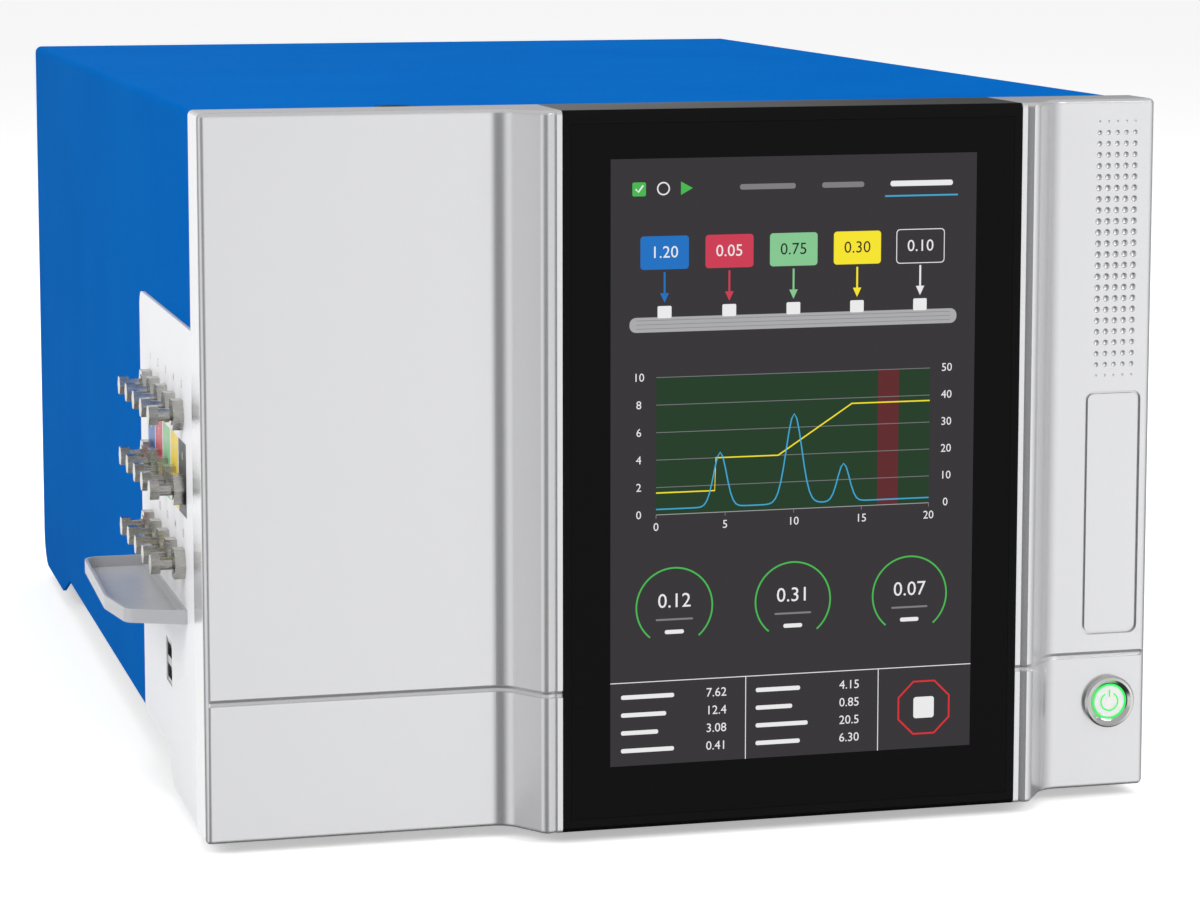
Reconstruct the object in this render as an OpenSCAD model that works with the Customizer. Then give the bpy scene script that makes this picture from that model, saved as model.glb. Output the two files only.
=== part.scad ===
/* [Housing] */
// Width over the front fascia
body_w = 360; // [350:1:380]
// Height of the front fascia
body_h = 262; // [256:1:280]
// Depth from the flat of the fascia to the rear panel
body_d = 554; // [530:1:600]
// Clearance between the bench and the fascia
bench_gap = 4; // [3:0.5:6]
// Height of the underside of the chassis floor
floor_z = 16; // [14:0.5:20]
// Thickness of the chassis sheet
chassis_t = 2; // [1.5:0.25:2.5]
// Thickness of the cover sheet
cover_t = 1.5; // [1:0.25:2]
// Step from the fascia edge in to the cover, on each side
cover_inset = 2; // [1:0.25:2.25]
// Step from the fascia top down to the cover
cover_drop = 1; // [0.5:0.25:1.5]
// Outer bend radius of the cover
cover_bend = 3; // [2.5:0.25:5]
// Height of the cover's raised lower edge above the bench
cover_low = 17; // [15:0.5:19]
// Height of the lowered rear skirt above the bench
skirt_low = 7; // [6:0.5:9]
// Thickness of the rear panel
panel_t = 1.5; // [1:0.25:2]

/* [Fascia] */
// Depth of the fascia behind its flat
fascia_d = 22; // [18:0.5:30]
// Wall of the fascia mouldings
wall = 2.6; // [2:0.1:3.5]
// Rounding of the fascia's top, bottom and side edges
edge_r = 1.8; // [1:0.1:2.4]
// Rounding of the upright outer corners
corner_r = 2.4; // [1.5:0.1:4]
// How far the display stands in front of the flat
proud = 16; // [12:0.5:20]
// Width of the flare from the flat to its crest
flare_w = 18.5; // [16:0.5:24]
// Radius of the hollow at the foot of the flare
hollow_r = 10; // [6:0.5:12]
// Radius of the crest of the flare
crest_r = 4; // [3:0.5:5]
// Width of the stepped land beside the display
land_w = 4.6; // [4.2:0.1:6]
// Height of the decorative groove above the bench
groove_z = 55.5; // [48:0.5:60]
// Width of the groove at the surface
groove_w = 2.8; // [2:0.1:3.6]

/* [Display] */
// Width of the black display block
display_w = 173.6; // [168:0.2:178]
// Sideways place of the display block's middle
display_x = 34.4; // [30:0.2:40]
// Width of the lit screen
screen_w = 138.2; // [130:0.2:142]
// Height of the lit screen
screen_h = 220.8; // [212:0.2:224]
// Height of the screen's middle above the bench
screen_z = 138; // [134:0.5:142]
// Thickness of the cover glass
glass_t = 2; // [1.5:0.1:3]
// Border of the black block around the glass
glass_rim = 3; // [2:0.1:4]

/* [Dimple field] */
// Columns of dimples
dimple_cols = 5; // [3:1:6]
// Rows of dimples
dimple_rows = 24; // [12:1:25]
// Spacing of the columns
dimple_px = 3.55; // [3.3:0.05:4]
// Spacing of the rows
dimple_pz = 4.15; // [3.6:0.05:4.3]
// Radius of the middle dimples
dimple_r = 1.25; // [0.9:0.05:1.5]
// Radius of the end dimples
dimple_r_end = 0.45; // [0.3:0.05:0.8]
// Distance from the fascia's side to the middle of the control column
control_in = 15; // [13:0.5:17]
// Distance from the fascia's top to the top row
dimple_top = 8.3; // [6:0.1:12]

/* [Badge field] */
// Width of the bare badge field
badge_w = 22.2; // [18:0.2:24]
// Height of the bare badge field
badge_h = 93; // [80:1:96]
// Height of its lower edge above the bench
badge_z = 63.3; // [60:0.1:66]
// Corner radius of the badge field
badge_r = 3.3; // [2:0.1:5]
// Width of the shadow gap round the badge insert
badge_gap = 1.1; // [0.6:0.1:1.5]
// Depth of the badge pocket
badge_deep = 1.2; // [0.8:0.1:1.6]

/* [Power button] */
// Height of the button above the bench
button_z = 37.4; // [34:0.1:40]
// Radius of the polished collar
collar_r = 10; // [9.5:0.1:11]
// Radius of the moving cap
cap_r = 6.2; // [5:0.1:6.5]
// Radius of the threaded barrel behind the collar
barrel_r = 8; // [7.6:0.1:8.5]
// Travel of the cap
button_travel = 2; // [1:0.1:2.5]

/* [Connection panel] */
// Depth of the side panel behind the fascia
side_d = 146; // [138:1:160]
// Height of the side panel's top edge above the bench
side_top = 186; // [180:1:200]
// Thickness of the side panel
side_t = 2.5; // [2:0.1:3]
// Corner radius of the side panel
side_r = 6; // [3:0.5:10]
// Spacing of the fitting columns
port_py = 20.8; // [20:0.2:22]
// Spacing of the fitting rows
port_pz = 27.7; // [25:0.1:28.5]
// Height of the top row of fittings above the bench
port_z = 152.4; // [150:0.2:156]
// Distance from the fascia flat to the front column
port_y = 54; // [50:0.5:58]
// Width across the flats of the panel nuts
nut_af = 11; // [10:0.1:12]
// Thickness of the panel nuts
nut_h = 4; // [3:0.1:5]
// Radius of the union barrels
union_r = 3.9; // [3.5:0.1:4.2]
// Width across the flats of the plug heads
plug_af = 6.8; // [6:0.1:7.5]
// Radius of the plug shanks
plug_r = 2.35; // [2:0.05:2.6]
// Shank of the plug that shows outside the nut
plug_out = 5; // [4:0.1:6]
// Height of the socket pair's middle above the bench
usb_z = 51; // [49:0.5:53]
// Distance from the fascia flat to the socket pair's middle
usb_y = 97; // [92:0.5:105]

/* [Drip tray] */
// Height of the tray's rim above the bench
tray_z = 80.6; // [78:0.2:82]
// Height of the tray's rim wall
tray_h = 5.2; // [5:0.1:6]
// Thickness of the tray sheet
tray_t = 1; // [0.8:0.1:1.4]
// Reach of the tray from the side panel
tray_out = 26; // [22:0.5:30]
// Distance from the fascia flat to the tray's front end
tray_y = 46; // [44:0.5:50]
// Length of the tray
tray_len = 117; // [112:1:118]

/* [Rear] */
// Width and height of the fan
fan_w = 60; // [56:1:64]
// Depth of the fan
fan_d = 25; // [22:1:30]
// Sideways place of the fan
fan_x = 100; // [80:1:120]
// Height of the fan's middle above the bench
fan_z = 190; // [180:1:200]
// Sideways place of the mains inlet
inlet_x = 128; // [120:1:132]
// Height of the mains inlet's middle above the bench
inlet_z = 62; // [58:1:70]
// Pull-out travel of the fuse drawer
drawer_travel = 15; // [10:1:18]
// Radius of the round hole in the cover's top
top_hole_r = 8; // [6:0.5:10]

/* [Feet] */
// Radius of a foot at the bench
foot_r = 11; // [9:0.5:13]
// Sideways distance between the feet
foot_px = 290; // [270:5:310]
// Lengthways distance between the feet
foot_py = 450; // [420:5:480]

/* [Hidden] */
$fn = 48;
slip = 0.1;
run_fit = 0.05;
over = 1;
blue = "#0d65b8";
silver = "#d8d8da";
black = "#141414";
white = "#ececef";
steel = "#b9b9b4";
zinc = "#c3c6c8";
board_green = "#1f6b45";

front_y = -body_d / 2;
rear_y = body_d / 2;
rim_y = front_y + fascia_d;
frame_y = rim_y + chassis_t;
low_z = bench_gap;
top_z = bench_gap + body_h;
cover_x = body_w / 2 - cover_inset;
cover_z = top_z - cover_drop;
in_x = cover_x - cover_t;
in_z = cover_z - cover_t;
deck_z = floor_z + chassis_t;
flange_h = 22;
panel_y = rear_y - panel_t;
block_x0 = display_x - display_w / 2;
block_x1 = display_x + display_w / 2;
left_len = block_x0 + body_w / 2;
right_len = body_w / 2 - block_x1;
block_front = front_y - proud + 0.3;
control_x = body_w / 2 - control_in;
side_out = cover_x + 1;
side_in = side_out - side_t;
cable_x = 60;

// Helpers
module slab(lo, hi) {
  translate(lo) cube(hi - lo);
}
module rod_x(x0, x1, y, z, r) {
  translate([x0, y, z]) rotate([0, 90, 0]) cylinder(r = r, h = x1 - x0);
}
module rod_y(y0, y1, x, z, r) {
  translate([x, y0, z]) rotate([-90, 0, 0]) cylinder(r = r, h = y1 - y0);
}
module rod_z(z0, z1, x, y, r) {
  translate([x, y, z0]) cylinder(r = r, h = z1 - z0);
}
// A hexagonal prism along X with a corner towards the front
module hex_x(x0, x1, y, z, af) {
  translate([x0, y, z]) rotate([0, 90, 0]) rotate([0, 0, 90])
    cylinder(r = af / sqrt(3), h = x1 - x0, $fn = 6);
}
// A turned shape whose profile is drawn as [radius, distance out of the panel]
module turned_front(x, z, y) {
  translate([x, y, z]) rotate([90, 0, 0]) rotate_extrude() children();
}
// A rounded rectangle made of true arcs, centred on the origin
module round_rect(w, h, r) {
  square([w - 2 * r, h], center = true);
  square([w, h - 2 * r], center = true);
  for (sx = [-1, 1], sz = [-1, 1]) translate([sx * (w / 2 - r), sz * (h / 2 - r)]) circle(r);
}
// A plate drawn in X and Z, that runs from y0 back to y1
module plate_y(y0, y1) {
  translate([0, y1, 0]) rotate([90, 0, 0]) linear_extrude(y1 - y0) children();
}
// A plate drawn in Y and Z, that runs from x0 to x1
module plate_x(x0, x1) {
  translate([x0, 0, 0]) rotate([90, 0, 90]) linear_extrude(x1 - x0) children();
}
module loft(rings) {
  n = len(rings[0]);
  m = len(rings);
  polyhedron(points = [for (ring = rings) each ring],
    faces = concat([[for (i = [0:n - 1]) i]],
      [[for (i = [n - 1:-1:0]) (m - 1) * n + i]],
      [for (k = [0:m - 2], i = [0:n - 1])
        [k * n + i, (k + 1) * n + i, (k + 1) * n + (i + 1) % n, k * n + (i + 1) % n]]));
}

// Fascia outline: [distance from the outer side, distance in front of the flat]
flare_s = hollow_r + crest_r;
flare_a = asin(flare_s / norm([flare_w, flare_s - proud])) - atan2(flare_s - proud, flare_w);
corner_n = 4;
hollow_n = 10;
crest_n = 6;
land_groove = 1;
land_out = 0.3;
function face_path(length, inset) =
  let (cc = max(corner_r, inset + 0.02), u_end = length - land_w, u1 = u_end - flare_w,
    r1 = hollow_r + inset, cr = max(crest_r, inset + 0.02), r2 = cr - inset)
  concat(
    [for (i = [0:corner_n]) let (a = 180 - 90 * i / corner_n)
      [cc + (cc - inset) * cos(a), -cc + (cc - inset) * sin(a)]],
    [[u1, -inset]],
    [for (i = [1:hollow_n]) let (a = flare_a * i / hollow_n)
      [u1 + r1 * sin(a), hollow_r - r1 * cos(a)]],
    [for (i = [0:crest_n]) let (a = flare_a * (1 - i / crest_n))
      [u_end - r2 * sin(a), proud - cr + r2 * cos(a)]]);
function land_path(length, inset) =
  [[length - land_w * 0.5, proud - land_groove - inset],
   [length - land_w * 0.42, proud - land_out - inset],
   [length, proud - land_out - inset]];
function to_frame(path, z) = [for (p = path) [-body_w / 2 + p[0], front_y - p[1], z]];
function outer_ring(length, inset, z) =
  to_frame(concat([[inset, -fascia_d]], face_path(length, inset), land_path(length, inset),
    [[length, -fascia_d]]), z);
edge_n = 3;
function edge_rings(length) =
  concat(
    [for (k = [0:edge_n]) let (a = 90 * k / edge_n)
      outer_ring(length, edge_r * (1 - sin(a)), low_z + edge_r * (1 - cos(a)))],
    [for (k = [edge_n:-1:0]) let (a = 90 * k / edge_n)
      outer_ring(length, edge_r * (1 - sin(a)), top_z - edge_r * (1 - cos(a)))]);
module fascia_cavity(length) {
  pts = concat([[wall, -fascia_d - over]], face_path(length, wall),
    [[length - wall, proud - land_groove - wall], [length - wall, -fascia_d - over]]);
  translate([-body_w / 2, front_y, low_z + wall]) mirror([0, 1, 0])
    linear_extrude(body_h - 2 * wall) polygon(pts);
}
// The half-round groove follows the flat, the flare and the land
groove_off = groove_w / 3;
groove_r = norm([groove_w / 2, groove_off]);
groove_n = 10;
groove_tip_n = 3;
function drop_first(list, n) = [for (i = [n:len(list) - 1]) list[i]];
module fascia_groove(length) {
  centre = drop_first(concat(face_path(length, -groove_off), land_path(length, -groove_off)), corner_n);
  surface = drop_first(concat(face_path(length, 0), land_path(length, 0)), corner_n);
  last = len(centre) - 1;
  tip = [for (k = [groove_tip_n:-1:1]) let (a = 90 * (k - 0.3) / groove_tip_n)
    [centre[0] - [groove_r * sin(a), 0], [0, 1], groove_r * cos(a)]];
  body = [for (i = [0:last]) [centre[i], (centre[i] - surface[i]) / groove_off, groove_r]];
  stations = concat(tip, body, [[centre[last] + [over, 0], [0, 1], groove_r]]);
  loft([for (s = stations) [for (k = [0:groove_n - 1]) let (a = -360 * k / groove_n)
    [-body_w / 2 + s[0][0] + s[1][0] * s[2] * cos(a),
     front_y - s[0][1] - s[1][1] * s[2] * cos(a),
     groove_z + s[2] * sin(a)]]]);
}
boss_r = 4;
boss_pilot = 1.4;
boss_in = 14;
boss_z = [groove_z + 7, top_z - boss_in];
function boss_u(length) = [boss_in, length - land_w - flare_w - boss_in / 2];
module fascia_bosses(length) {
  for (u = boss_u(length), z = boss_z) difference() {
    rod_y(front_y + wall - 0.4, rim_y, -body_w / 2 + u, z, boss_r);
    rod_y(rim_y - 10, rim_y + over, -body_w / 2 + u, z, boss_pilot);
  }
}
rib_t = 1.8;
module fascia_ribs(length) {
  for (k = [1:3])
    slab([-body_w / 2 + wall - 0.4, front_y + wall - 0.4, low_z + k * body_h / 4 + 6],
      [-body_w / 2 + length - land_w - flare_w, rim_y - 6, low_z + k * body_h / 4 + 6 + rib_t]);
}
module fascia_shell(length) {
  difference() {
    loft(edge_rings(length));
    fascia_cavity(length);
    fascia_groove(length);
  }
}
module left_fascia() {
  color(silver) {
    fascia_shell(left_len);
    fascia_bosses(left_len);
    fascia_ribs(left_len);
  }
}

// Right fascia: dimple field, badge pocket and button hole
dimple_z = top_z - dimple_top;
function dimple_radius(row) = let (t = 2 * row / (dimple_rows - 1) - 1)
  dimple_r_end + (dimple_r - dimple_r_end) * pow(max(0, 1 - t * t), 0.3);
dimple_ball = 1.15;
module dimples() {
  for (row = [0:dimple_rows - 1], col = [0:dimple_cols - 1]) {
    r = dimple_radius(row);
    ball = r * dimple_ball;
    translate([control_x + (col - (dimple_cols - 1) / 2) * dimple_px, front_y - sqrt(ball * ball - r * r),
      dimple_z - row * dimple_pz]) sphere(ball, $fn = 20);
  }
}
badge_mid = badge_z + badge_h / 2;
module badge_outline(gap) {
  translate([control_x, badge_mid]) round_rect(badge_w - 2 * gap, badge_h - 2 * gap, badge_r - gap * 0.8);
}
module right_fascia() {
  color(silver) difference() {
    mirror([1, 0, 0]) {
      fascia_shell(right_len);
      fascia_bosses(right_len);
      fascia_ribs(right_len);
    }
    dimples();
    plate_y(front_y - over, front_y + badge_deep) badge_outline(0);
    rod_y(front_y - over, rim_y + over, control_x, button_z, barrel_r + slip);
  }
}
module badge_insert() {
  color(silver) plate_y(front_y + 0.1, front_y + badge_deep) badge_outline(badge_gap);
}

// Display block, with the glass let into its front
block_bevel = 1.8;
block_gap = 0.1;
glass_x = display_w / 2 - block_gap - glass_rim;
glass_z = body_h / 2 - glass_rim - block_bevel;
lcd_w = screen_w + 11;
lcd_h = screen_h + 11;
lcd_t = 6;
lcd_y = block_front + glass_t;
block_mid = (low_z + top_z) / 2;
block_boss_x = display_w / 2 - 8;
module display_bezel() {
  x0 = block_x0 + block_gap;
  x1 = block_x1 - block_gap;
  color(black) {
    difference() {
      plate_x(x0, x1) polygon([[rim_y, low_z], [block_front + block_bevel, low_z],
        [block_front, low_z + block_bevel], [block_front, top_z - block_bevel],
        [block_front + block_bevel, top_z], [rim_y, top_z]]);
      slab([display_x - glass_x, block_front - over, block_mid - glass_z],
        [display_x + glass_x, lcd_y, block_mid + glass_z]);
      slab([display_x - lcd_w / 2 - slip, block_front, screen_z - lcd_h / 2 - slip],
        [display_x + lcd_w / 2 + slip, rim_y + over, screen_z + lcd_h / 2 + slip]);
      slab([x0 + wall, lcd_y + 3, low_z + wall + 2], [x1 - wall, rim_y + over, top_z - wall - 2]);
    }
    for (sx = [-1, 1], z = boss_z) difference() {
      rod_y(lcd_y + 2.8, rim_y, display_x + sx * block_boss_x, z, boss_r);
      rod_y(rim_y - 10, rim_y + over, display_x + sx * block_boss_x, z, boss_pilot);
    }
  }
}
module display_glass() {
  color([0.05, 0.05, 0.06, 0.6])
    slab([display_x - glass_x + slip, block_front, block_mid - glass_z + slip],
      [display_x + glass_x - slip, lcd_y, block_mid + glass_z - slip]);
}
// Screen module: a steel back tray with four pillars for the controller board
pillar_h = 4;
board_w = 120;
board_h = 150;
board_t = 1.6;
module lcd_panel() {
  color("#2b292b") union() {
    slab([display_x - lcd_w / 2, lcd_y, screen_z - lcd_h / 2],
      [display_x + lcd_w / 2, lcd_y + lcd_t, screen_z + lcd_h / 2]);
    for (sx = [-1, 1], sz = [-1, 1])
      rod_y(lcd_y + lcd_t - 0.2, lcd_y + lcd_t + pillar_h, display_x + sx * (board_w / 2 - 6),
        screen_z + sz * (board_h / 2 - 6), 3);
  }
}
display_board_y = lcd_y + lcd_t + pillar_h;
cable_w = 28;
cable_z = screen_z - board_h / 2 + 10;
module display_board() {
  color(board_green) union() {
    slab([display_x - board_w / 2, display_board_y, screen_z - board_h / 2],
      [display_x + board_w / 2, display_board_y + board_t, screen_z + board_h / 2]);
    for (p = [[-30, 40, 22], [18, 36, 30], [-20, -20, 26], [28, -30, 18]])
      slab([display_x + p[0] - p[2] / 2, display_board_y + board_t - 0.1, screen_z + p[1] - p[2] / 2],
        [display_x + p[0] + p[2] / 2, display_board_y + board_t + 2.4, screen_z + p[1] + p[2] / 2]);
    slab([cable_x - cable_w / 2 - 2, display_board_y + board_t - 0.1, cable_z - 4],
      [cable_x + cable_w / 2 + 2, display_board_y + board_t + 5, cable_z + 4]);
  }
}

// Power button: fixed collar and light ring, moving cap
collar_out = 2.6;
ring_in = cap_r + run_fit;
ring_wall = 0.55;
bore_r = ring_in + ring_wall + run_fit;
barrel_len = 16;
cap_out = 1.5;
cap_len = 6;
switch_front = cap_len + button_travel + 0.3 - cap_out;
switch_len = 11;
switch_pin = 4;
module button_collar() {
  color("#d5d5d2") turned_front(control_x, button_z, front_y)
    polygon([[bore_r, -barrel_len], [barrel_r, -barrel_len], [barrel_r, 0], [collar_r, 0],
      [collar_r, collar_out - 0.9], [collar_r - 0.7, collar_out], [collar_r - 1.6, collar_out + 0.2],
      [bore_r + 0.5, cap_out + 0.3], [bore_r, cap_out]]);
}
module button_light_ring() {
  color("#4be070") turned_front(control_x, button_z, front_y)
    translate([ring_in, -cap_len]) square([ring_wall, cap_len + cap_out + 0.1]);
}
module power_button() {
  color("#f4f4f2") turned_front(control_x, button_z, front_y)
    polygon([[0, cap_out - cap_len], [cap_r, cap_out - cap_len], [cap_r, cap_out - 0.4],
      [cap_r - 0.4, cap_out], [0, cap_out + 0.25]]);
}
module button_switch() {
  color("#202022") union() {
    rod_y(front_y + switch_front, front_y + switch_front + switch_len, control_x, button_z, bore_r - run_fit);
    for (sx = [-1, 1])
      slab([control_x + sx * 3 - 0.4, front_y + switch_front + switch_len - 0.1, button_z - 1.4],
        [control_x + sx * 3 + 0.4, front_y + switch_front + switch_len + switch_pin, button_z + 1.4]);
  }
}
module button_nut() {
  color(zinc) difference() {
    translate([control_x, front_y + wall, button_z]) rotate([-90, 0, 0])
      cylinder(r = 11.5, h = 3, $fn = 6);
    rod_y(front_y, front_y + wall + 4, control_x, button_z, barrel_r + run_fit);
  }
}

// Folded sheet: base chassis, front frame, cover and rear panel
bend_r = 3;
rear_flange_h = 8;
panel_in = rear_y - cover_t - panel_t;
lip_w = 10;
foot_hole = 2.1;
module u_section(half, top, r) {
  translate([-half, 0]) square([2 * half, top - r]);
  translate([r - half, 0]) square([2 * (half - r), top]);
  for (s = [-1, 1]) translate([s * (half - r), top - r]) circle(r);
}
module base_chassis() {
  color(zinc) difference() {
    union() {
      difference() {
        plate_y(frame_y, panel_in) translate([0, floor_z + flange_h]) mirror([0, 1, 0])
          u_section(in_x, flange_h, bend_r);
        plate_y(frame_y - over, panel_in + over) translate([0, floor_z + flange_h + over]) mirror([0, 1, 0])
          u_section(in_x - chassis_t, flange_h + over - chassis_t, bend_r - chassis_t);
      }
      slab([chassis_t - in_x, frame_y, floor_z + over], [in_x - chassis_t, frame_y + chassis_t, floor_z + flange_h]);
      slab([chassis_t - in_x, panel_in - chassis_t, floor_z + over],
        [in_x - chassis_t, panel_in, deck_z + rear_flange_h]);
    }
    for (sx = [-1, 1], sy = [-1, 1])
      rod_z(floor_z - over, deck_z + over, sx * foot_px / 2, sy * foot_py / 2, foot_hole);
    for (k = [0:vent_n - 1])
      slab([psu_x0 + 10 + k * vent_pitch, psu_y0 + 20, floor_z - over],
        [psu_x0 + 10 + k * vent_pitch + vent_w, psu_y0 + 20 + vent_l, deck_z + over]);
    for (x = rear_screw_x) rod_y(panel_in - chassis_t - over, panel_in + over, x, rear_screw_z, 1.4);
  }
}
vent_n = 6;
vent_pitch = 9;
vent_w = 4;
vent_l = 90;
rear_screw_x = [-150, -20, 60, 160];
rear_screw_z = deck_z + rear_flange_h / 2 + 0.4;

frame_return = 20;
frame_lip = 8;
frame_hole = 1.7;
module fascia_screw_places() {
  for (z = boss_z) {
    for (u = boss_u(left_len)) translate([-body_w / 2 + u, 0, z]) children();
    for (u = boss_u(right_len)) translate([body_w / 2 - u, 0, z]) children();
    for (sx = [-1, 1]) translate([display_x + sx * block_boss_x, 0, z]) children();
  }
}
module front_frame() {
  color(zinc) difference() {
    union() {
      slab([-in_x, rim_y, floor_z], [in_x, frame_y, in_z]);
      for (sx = [-1, 1])
        slab([sx > 0 ? in_x - chassis_t : -in_x, rim_y + over, floor_z + flange_h + 2],
          [sx > 0 ? in_x : chassis_t - in_x, rim_y + frame_return, in_z - bend_r]);
      slab([bend_r - in_x, rim_y + over, in_z - chassis_t], [in_x - bend_r, rim_y + frame_lip, in_z]);
    }
    for (sx = [-1, 1]) difference() {
      slab([sx > 0 ? in_x - bend_r : -in_x - over, rim_y - over, in_z - bend_r],
        [sx > 0 ? in_x + over : bend_r - in_x, rim_y + frame_return + over, in_z + over]);
      rod_y(rim_y - over * 2, rim_y + frame_return + over * 2, sx * (in_x - bend_r), in_z - bend_r,
        cover_bend - cover_t);
    }
    slab([cable_x - cable_w / 2 - 4, rim_y - over, cable_z - 12],
      [cable_x + cable_w / 2 + 4, frame_y + over, cable_z + 8]);
    fascia_screw_places() rod_y(rim_y - over, frame_y + over, 0, 0, frame_hole);
    for (k = [0:3]) slab([display_x - 70 + k * 38, rim_y - over, 150], [display_x - 45 + k * 38, frame_y + over, 230]);
    rod_y(rim_y - over, frame_y + over, control_x, button_z, barrel_r + 1);
    for (k = [0:1]) slab([-150 + k * 35, rim_y - over, 80], [-122 + k * 35, frame_y + over, 220]);
  }
}

// Cover: side profile and bent section intersected
skirt_rise = cover_low - skirt_low;
skirt_run = 28;
skirt_len = 110;
front_skirt = 64.5;
front_run = 19.5;
rear_round = 17;
round_n = 8;
s_curve_n = 8;
function s_curve(y0, z0, y1, z1) = [for (i = [0:s_curve_n]) let (t = i / s_curve_n)
  [y0 + (y1 - y0) * t, z0 + (z1 - z0) * (1 - cos(180 * t)) / 2]];
module cover_profile() {
  polygon(concat([[rim_y, skirt_low]],
    s_curve(rim_y + front_skirt, skirt_low, rim_y + front_skirt + front_run, cover_low),
    [[rear_y - skirt_len, cover_low], [rear_y - skirt_len + skirt_run, skirt_low]],
    [for (i = [0:round_n]) let (a = 90 * i / round_n)
      [rear_y - rear_round + rear_round * sin(a), skirt_low + rear_round - rear_round * cos(a)]],
    [[rear_y, cover_z], [rim_y, cover_z]]));
}
side_y1 = rim_y + side_d;
side_gap = 0.4;
function arc_2d(cx, cy, r, a0, a1, n) = [for (i = [0:n]) let (a = a0 + (a1 - a0) * i / n)
  [cx + r * cos(a), cy + r * sin(a)]];
module side_outline(gap) {
  polygon(concat([[rim_y - (gap > 0 ? over : 0), low_z - gap]],
    s_curve(rim_y + front_skirt + gap, low_z - gap, rim_y + front_skirt + front_run + gap, cover_low - gap),
    [[side_y1 + gap, cover_low - gap]],
    arc_2d(side_y1 - side_r, side_top - side_r, side_r + gap, 0, 90, 6),
    [[rim_y - (gap > 0 ? over : 0), side_top + gap]]));
}
cover_screw_z = [70, 145, 220];
cover_screw_x = [-110, 0, 110];
cover_hole = 1.7;
module cover_screw_places() {
  for (sx = [-1, 1], z = cover_screw_z) translate([sx * (cover_x - lip_w / 2 - 0.5), 0, z]) children();
  for (x = cover_screw_x) translate([x, 0, cover_z - lip_w / 2 - 0.5]) children();
}
top_hole_x = -101;
top_hole_y = front_y + 41;
module top_cover() {
  color(blue) difference() {
    intersection() {
      plate_x(-cover_x - over, cover_x + over) cover_profile();
      union() {
        plate_y(rim_y, rear_y) difference() {
          u_section(cover_x, cover_z, cover_bend);
          translate([0, -over]) u_section(in_x, in_z + over, cover_bend - cover_t);
        }
        plate_y(rear_y - cover_t, rear_y) difference() {
          u_section(cover_x - 0.2, cover_z - 0.2, cover_bend);
          translate([0, -over]) u_section(cover_x - lip_w, cover_z + over - lip_w, cover_bend);
        }
      }
    }
    plate_x(-cover_x - over, -in_x + over) side_outline(side_gap);
    rod_z(in_z - over, cover_z + over, top_hole_x, top_hole_y, top_hole_r);
    cover_screw_places() rod_y(rear_y - cover_t - over, rear_y + over, 0, 0, cover_hole);
  }
}
plug_flange = 1.6;
module top_plug() {
  color("#1b1c1e") translate([top_hole_x, top_hole_y, cover_z]) rotate_extrude()
    polygon([[0, -4.5], [top_hole_r - 1.5, -4.5], [top_hole_r - 1.5, -cover_t - 1.2],
      [top_hole_r + plug_flange, -cover_t - 1.2], [top_hole_r + plug_flange, -cover_t],
      [top_hole_r - slip, -cover_t], [top_hole_r - slip, -0.7], [top_hole_r - 0.8, -0.1],
      [top_hole_r - 2, -0.1], [top_hole_r - 3, -1.2], [0, -1.2]]);
}
fan_bore = fan_w / 2 - 2;
fan_hole_in = fan_w / 2 - 5;
slot_n = 12;
slot_pitch = 8;
slot_w = 3;
slot_x0 = -150;
slot_z0 = 150;
slot_h = 60;
module rear_panel() {
  color("#d3d5d6") difference() {
    slab([-in_x, panel_in, floor_z], [in_x, panel_in + panel_t, in_z - 1.5]);
    rod_y(panel_in - over, rear_y, fan_x, fan_z, fan_bore);
    for (sx = [-1, 1], sz = [-1, 1])
      rod_y(panel_in - over, rear_y, fan_x + sx * fan_hole_in, fan_z + sz * fan_hole_in, 2.2);
    for (k = [0:slot_n - 1])
      slab([slot_x0 + k * slot_pitch, panel_in - over, slot_z0],
        [slot_x0 + k * slot_pitch + slot_w, rear_y, slot_z0 + slot_h]);
    slab([inlet_x - inlet_body_w / 2 - slip, panel_in - over, inlet_z - inlet_body_h / 2 - slip],
      [inlet_x + inlet_body_w / 2 + slip, rear_y, inlet_z + inlet_body_h / 2 + slip]);
    for (k = [0:jack_n - 1]) slab([jack_x + k * jack_pitch - jack_w / 2 - 0.3, panel_in - over, io_z - 0.3],
      [jack_x + k * jack_pitch + jack_w / 2 + 0.3, rear_y, io_z + jack_h + 0.3]);
    slab([term_x - term_w / 2 - 0.3, panel_in - over, io_z - 0.3],
      [term_x + term_w / 2 + 0.3, rear_y, io_z + term_h + 0.3]);
    rod_y(panel_in - over, rear_y, stud_x, stud_z, stud_r + slip);
    for (x = rear_screw_x) rod_y(panel_in - over, rear_y, x, rear_screw_z, cover_hole);
    cover_screw_places() rod_y(panel_in - over, rear_y, 0, 0, cover_hole);
  }
}
// A pan-head screw whose head rests on the plane y = 0, with its head towards +Y
module pan_screw(shank_r, head_r, head_h, length) {
  rotate([-90, 0, 0]) rotate_extrude()
    polygon([[0, -length], [shank_r, -length], [shank_r, 0], [head_r, 0], [head_r, head_h * 0.55],
      [head_r * 0.62, head_h], [head_r * 0.35, head_h], [0, head_h * 0.5]]);
}
module fascia_screws() {
  color(zinc) fascia_screw_places() translate([0, frame_y, 0]) pan_screw(1.35, 2.8, 1.5, 9);
}
module cover_screws() {
  color(zinc) cover_screw_places() translate([0, rear_y, 0]) pan_screw(1.5, 3, 1.6, 8);
}
module rear_screws() {
  color(zinc) for (x = rear_screw_x)
    translate([x, panel_in + panel_t, rear_screw_z]) pan_screw(1.3, 2.6, 1.4, 5.5);
}

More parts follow.
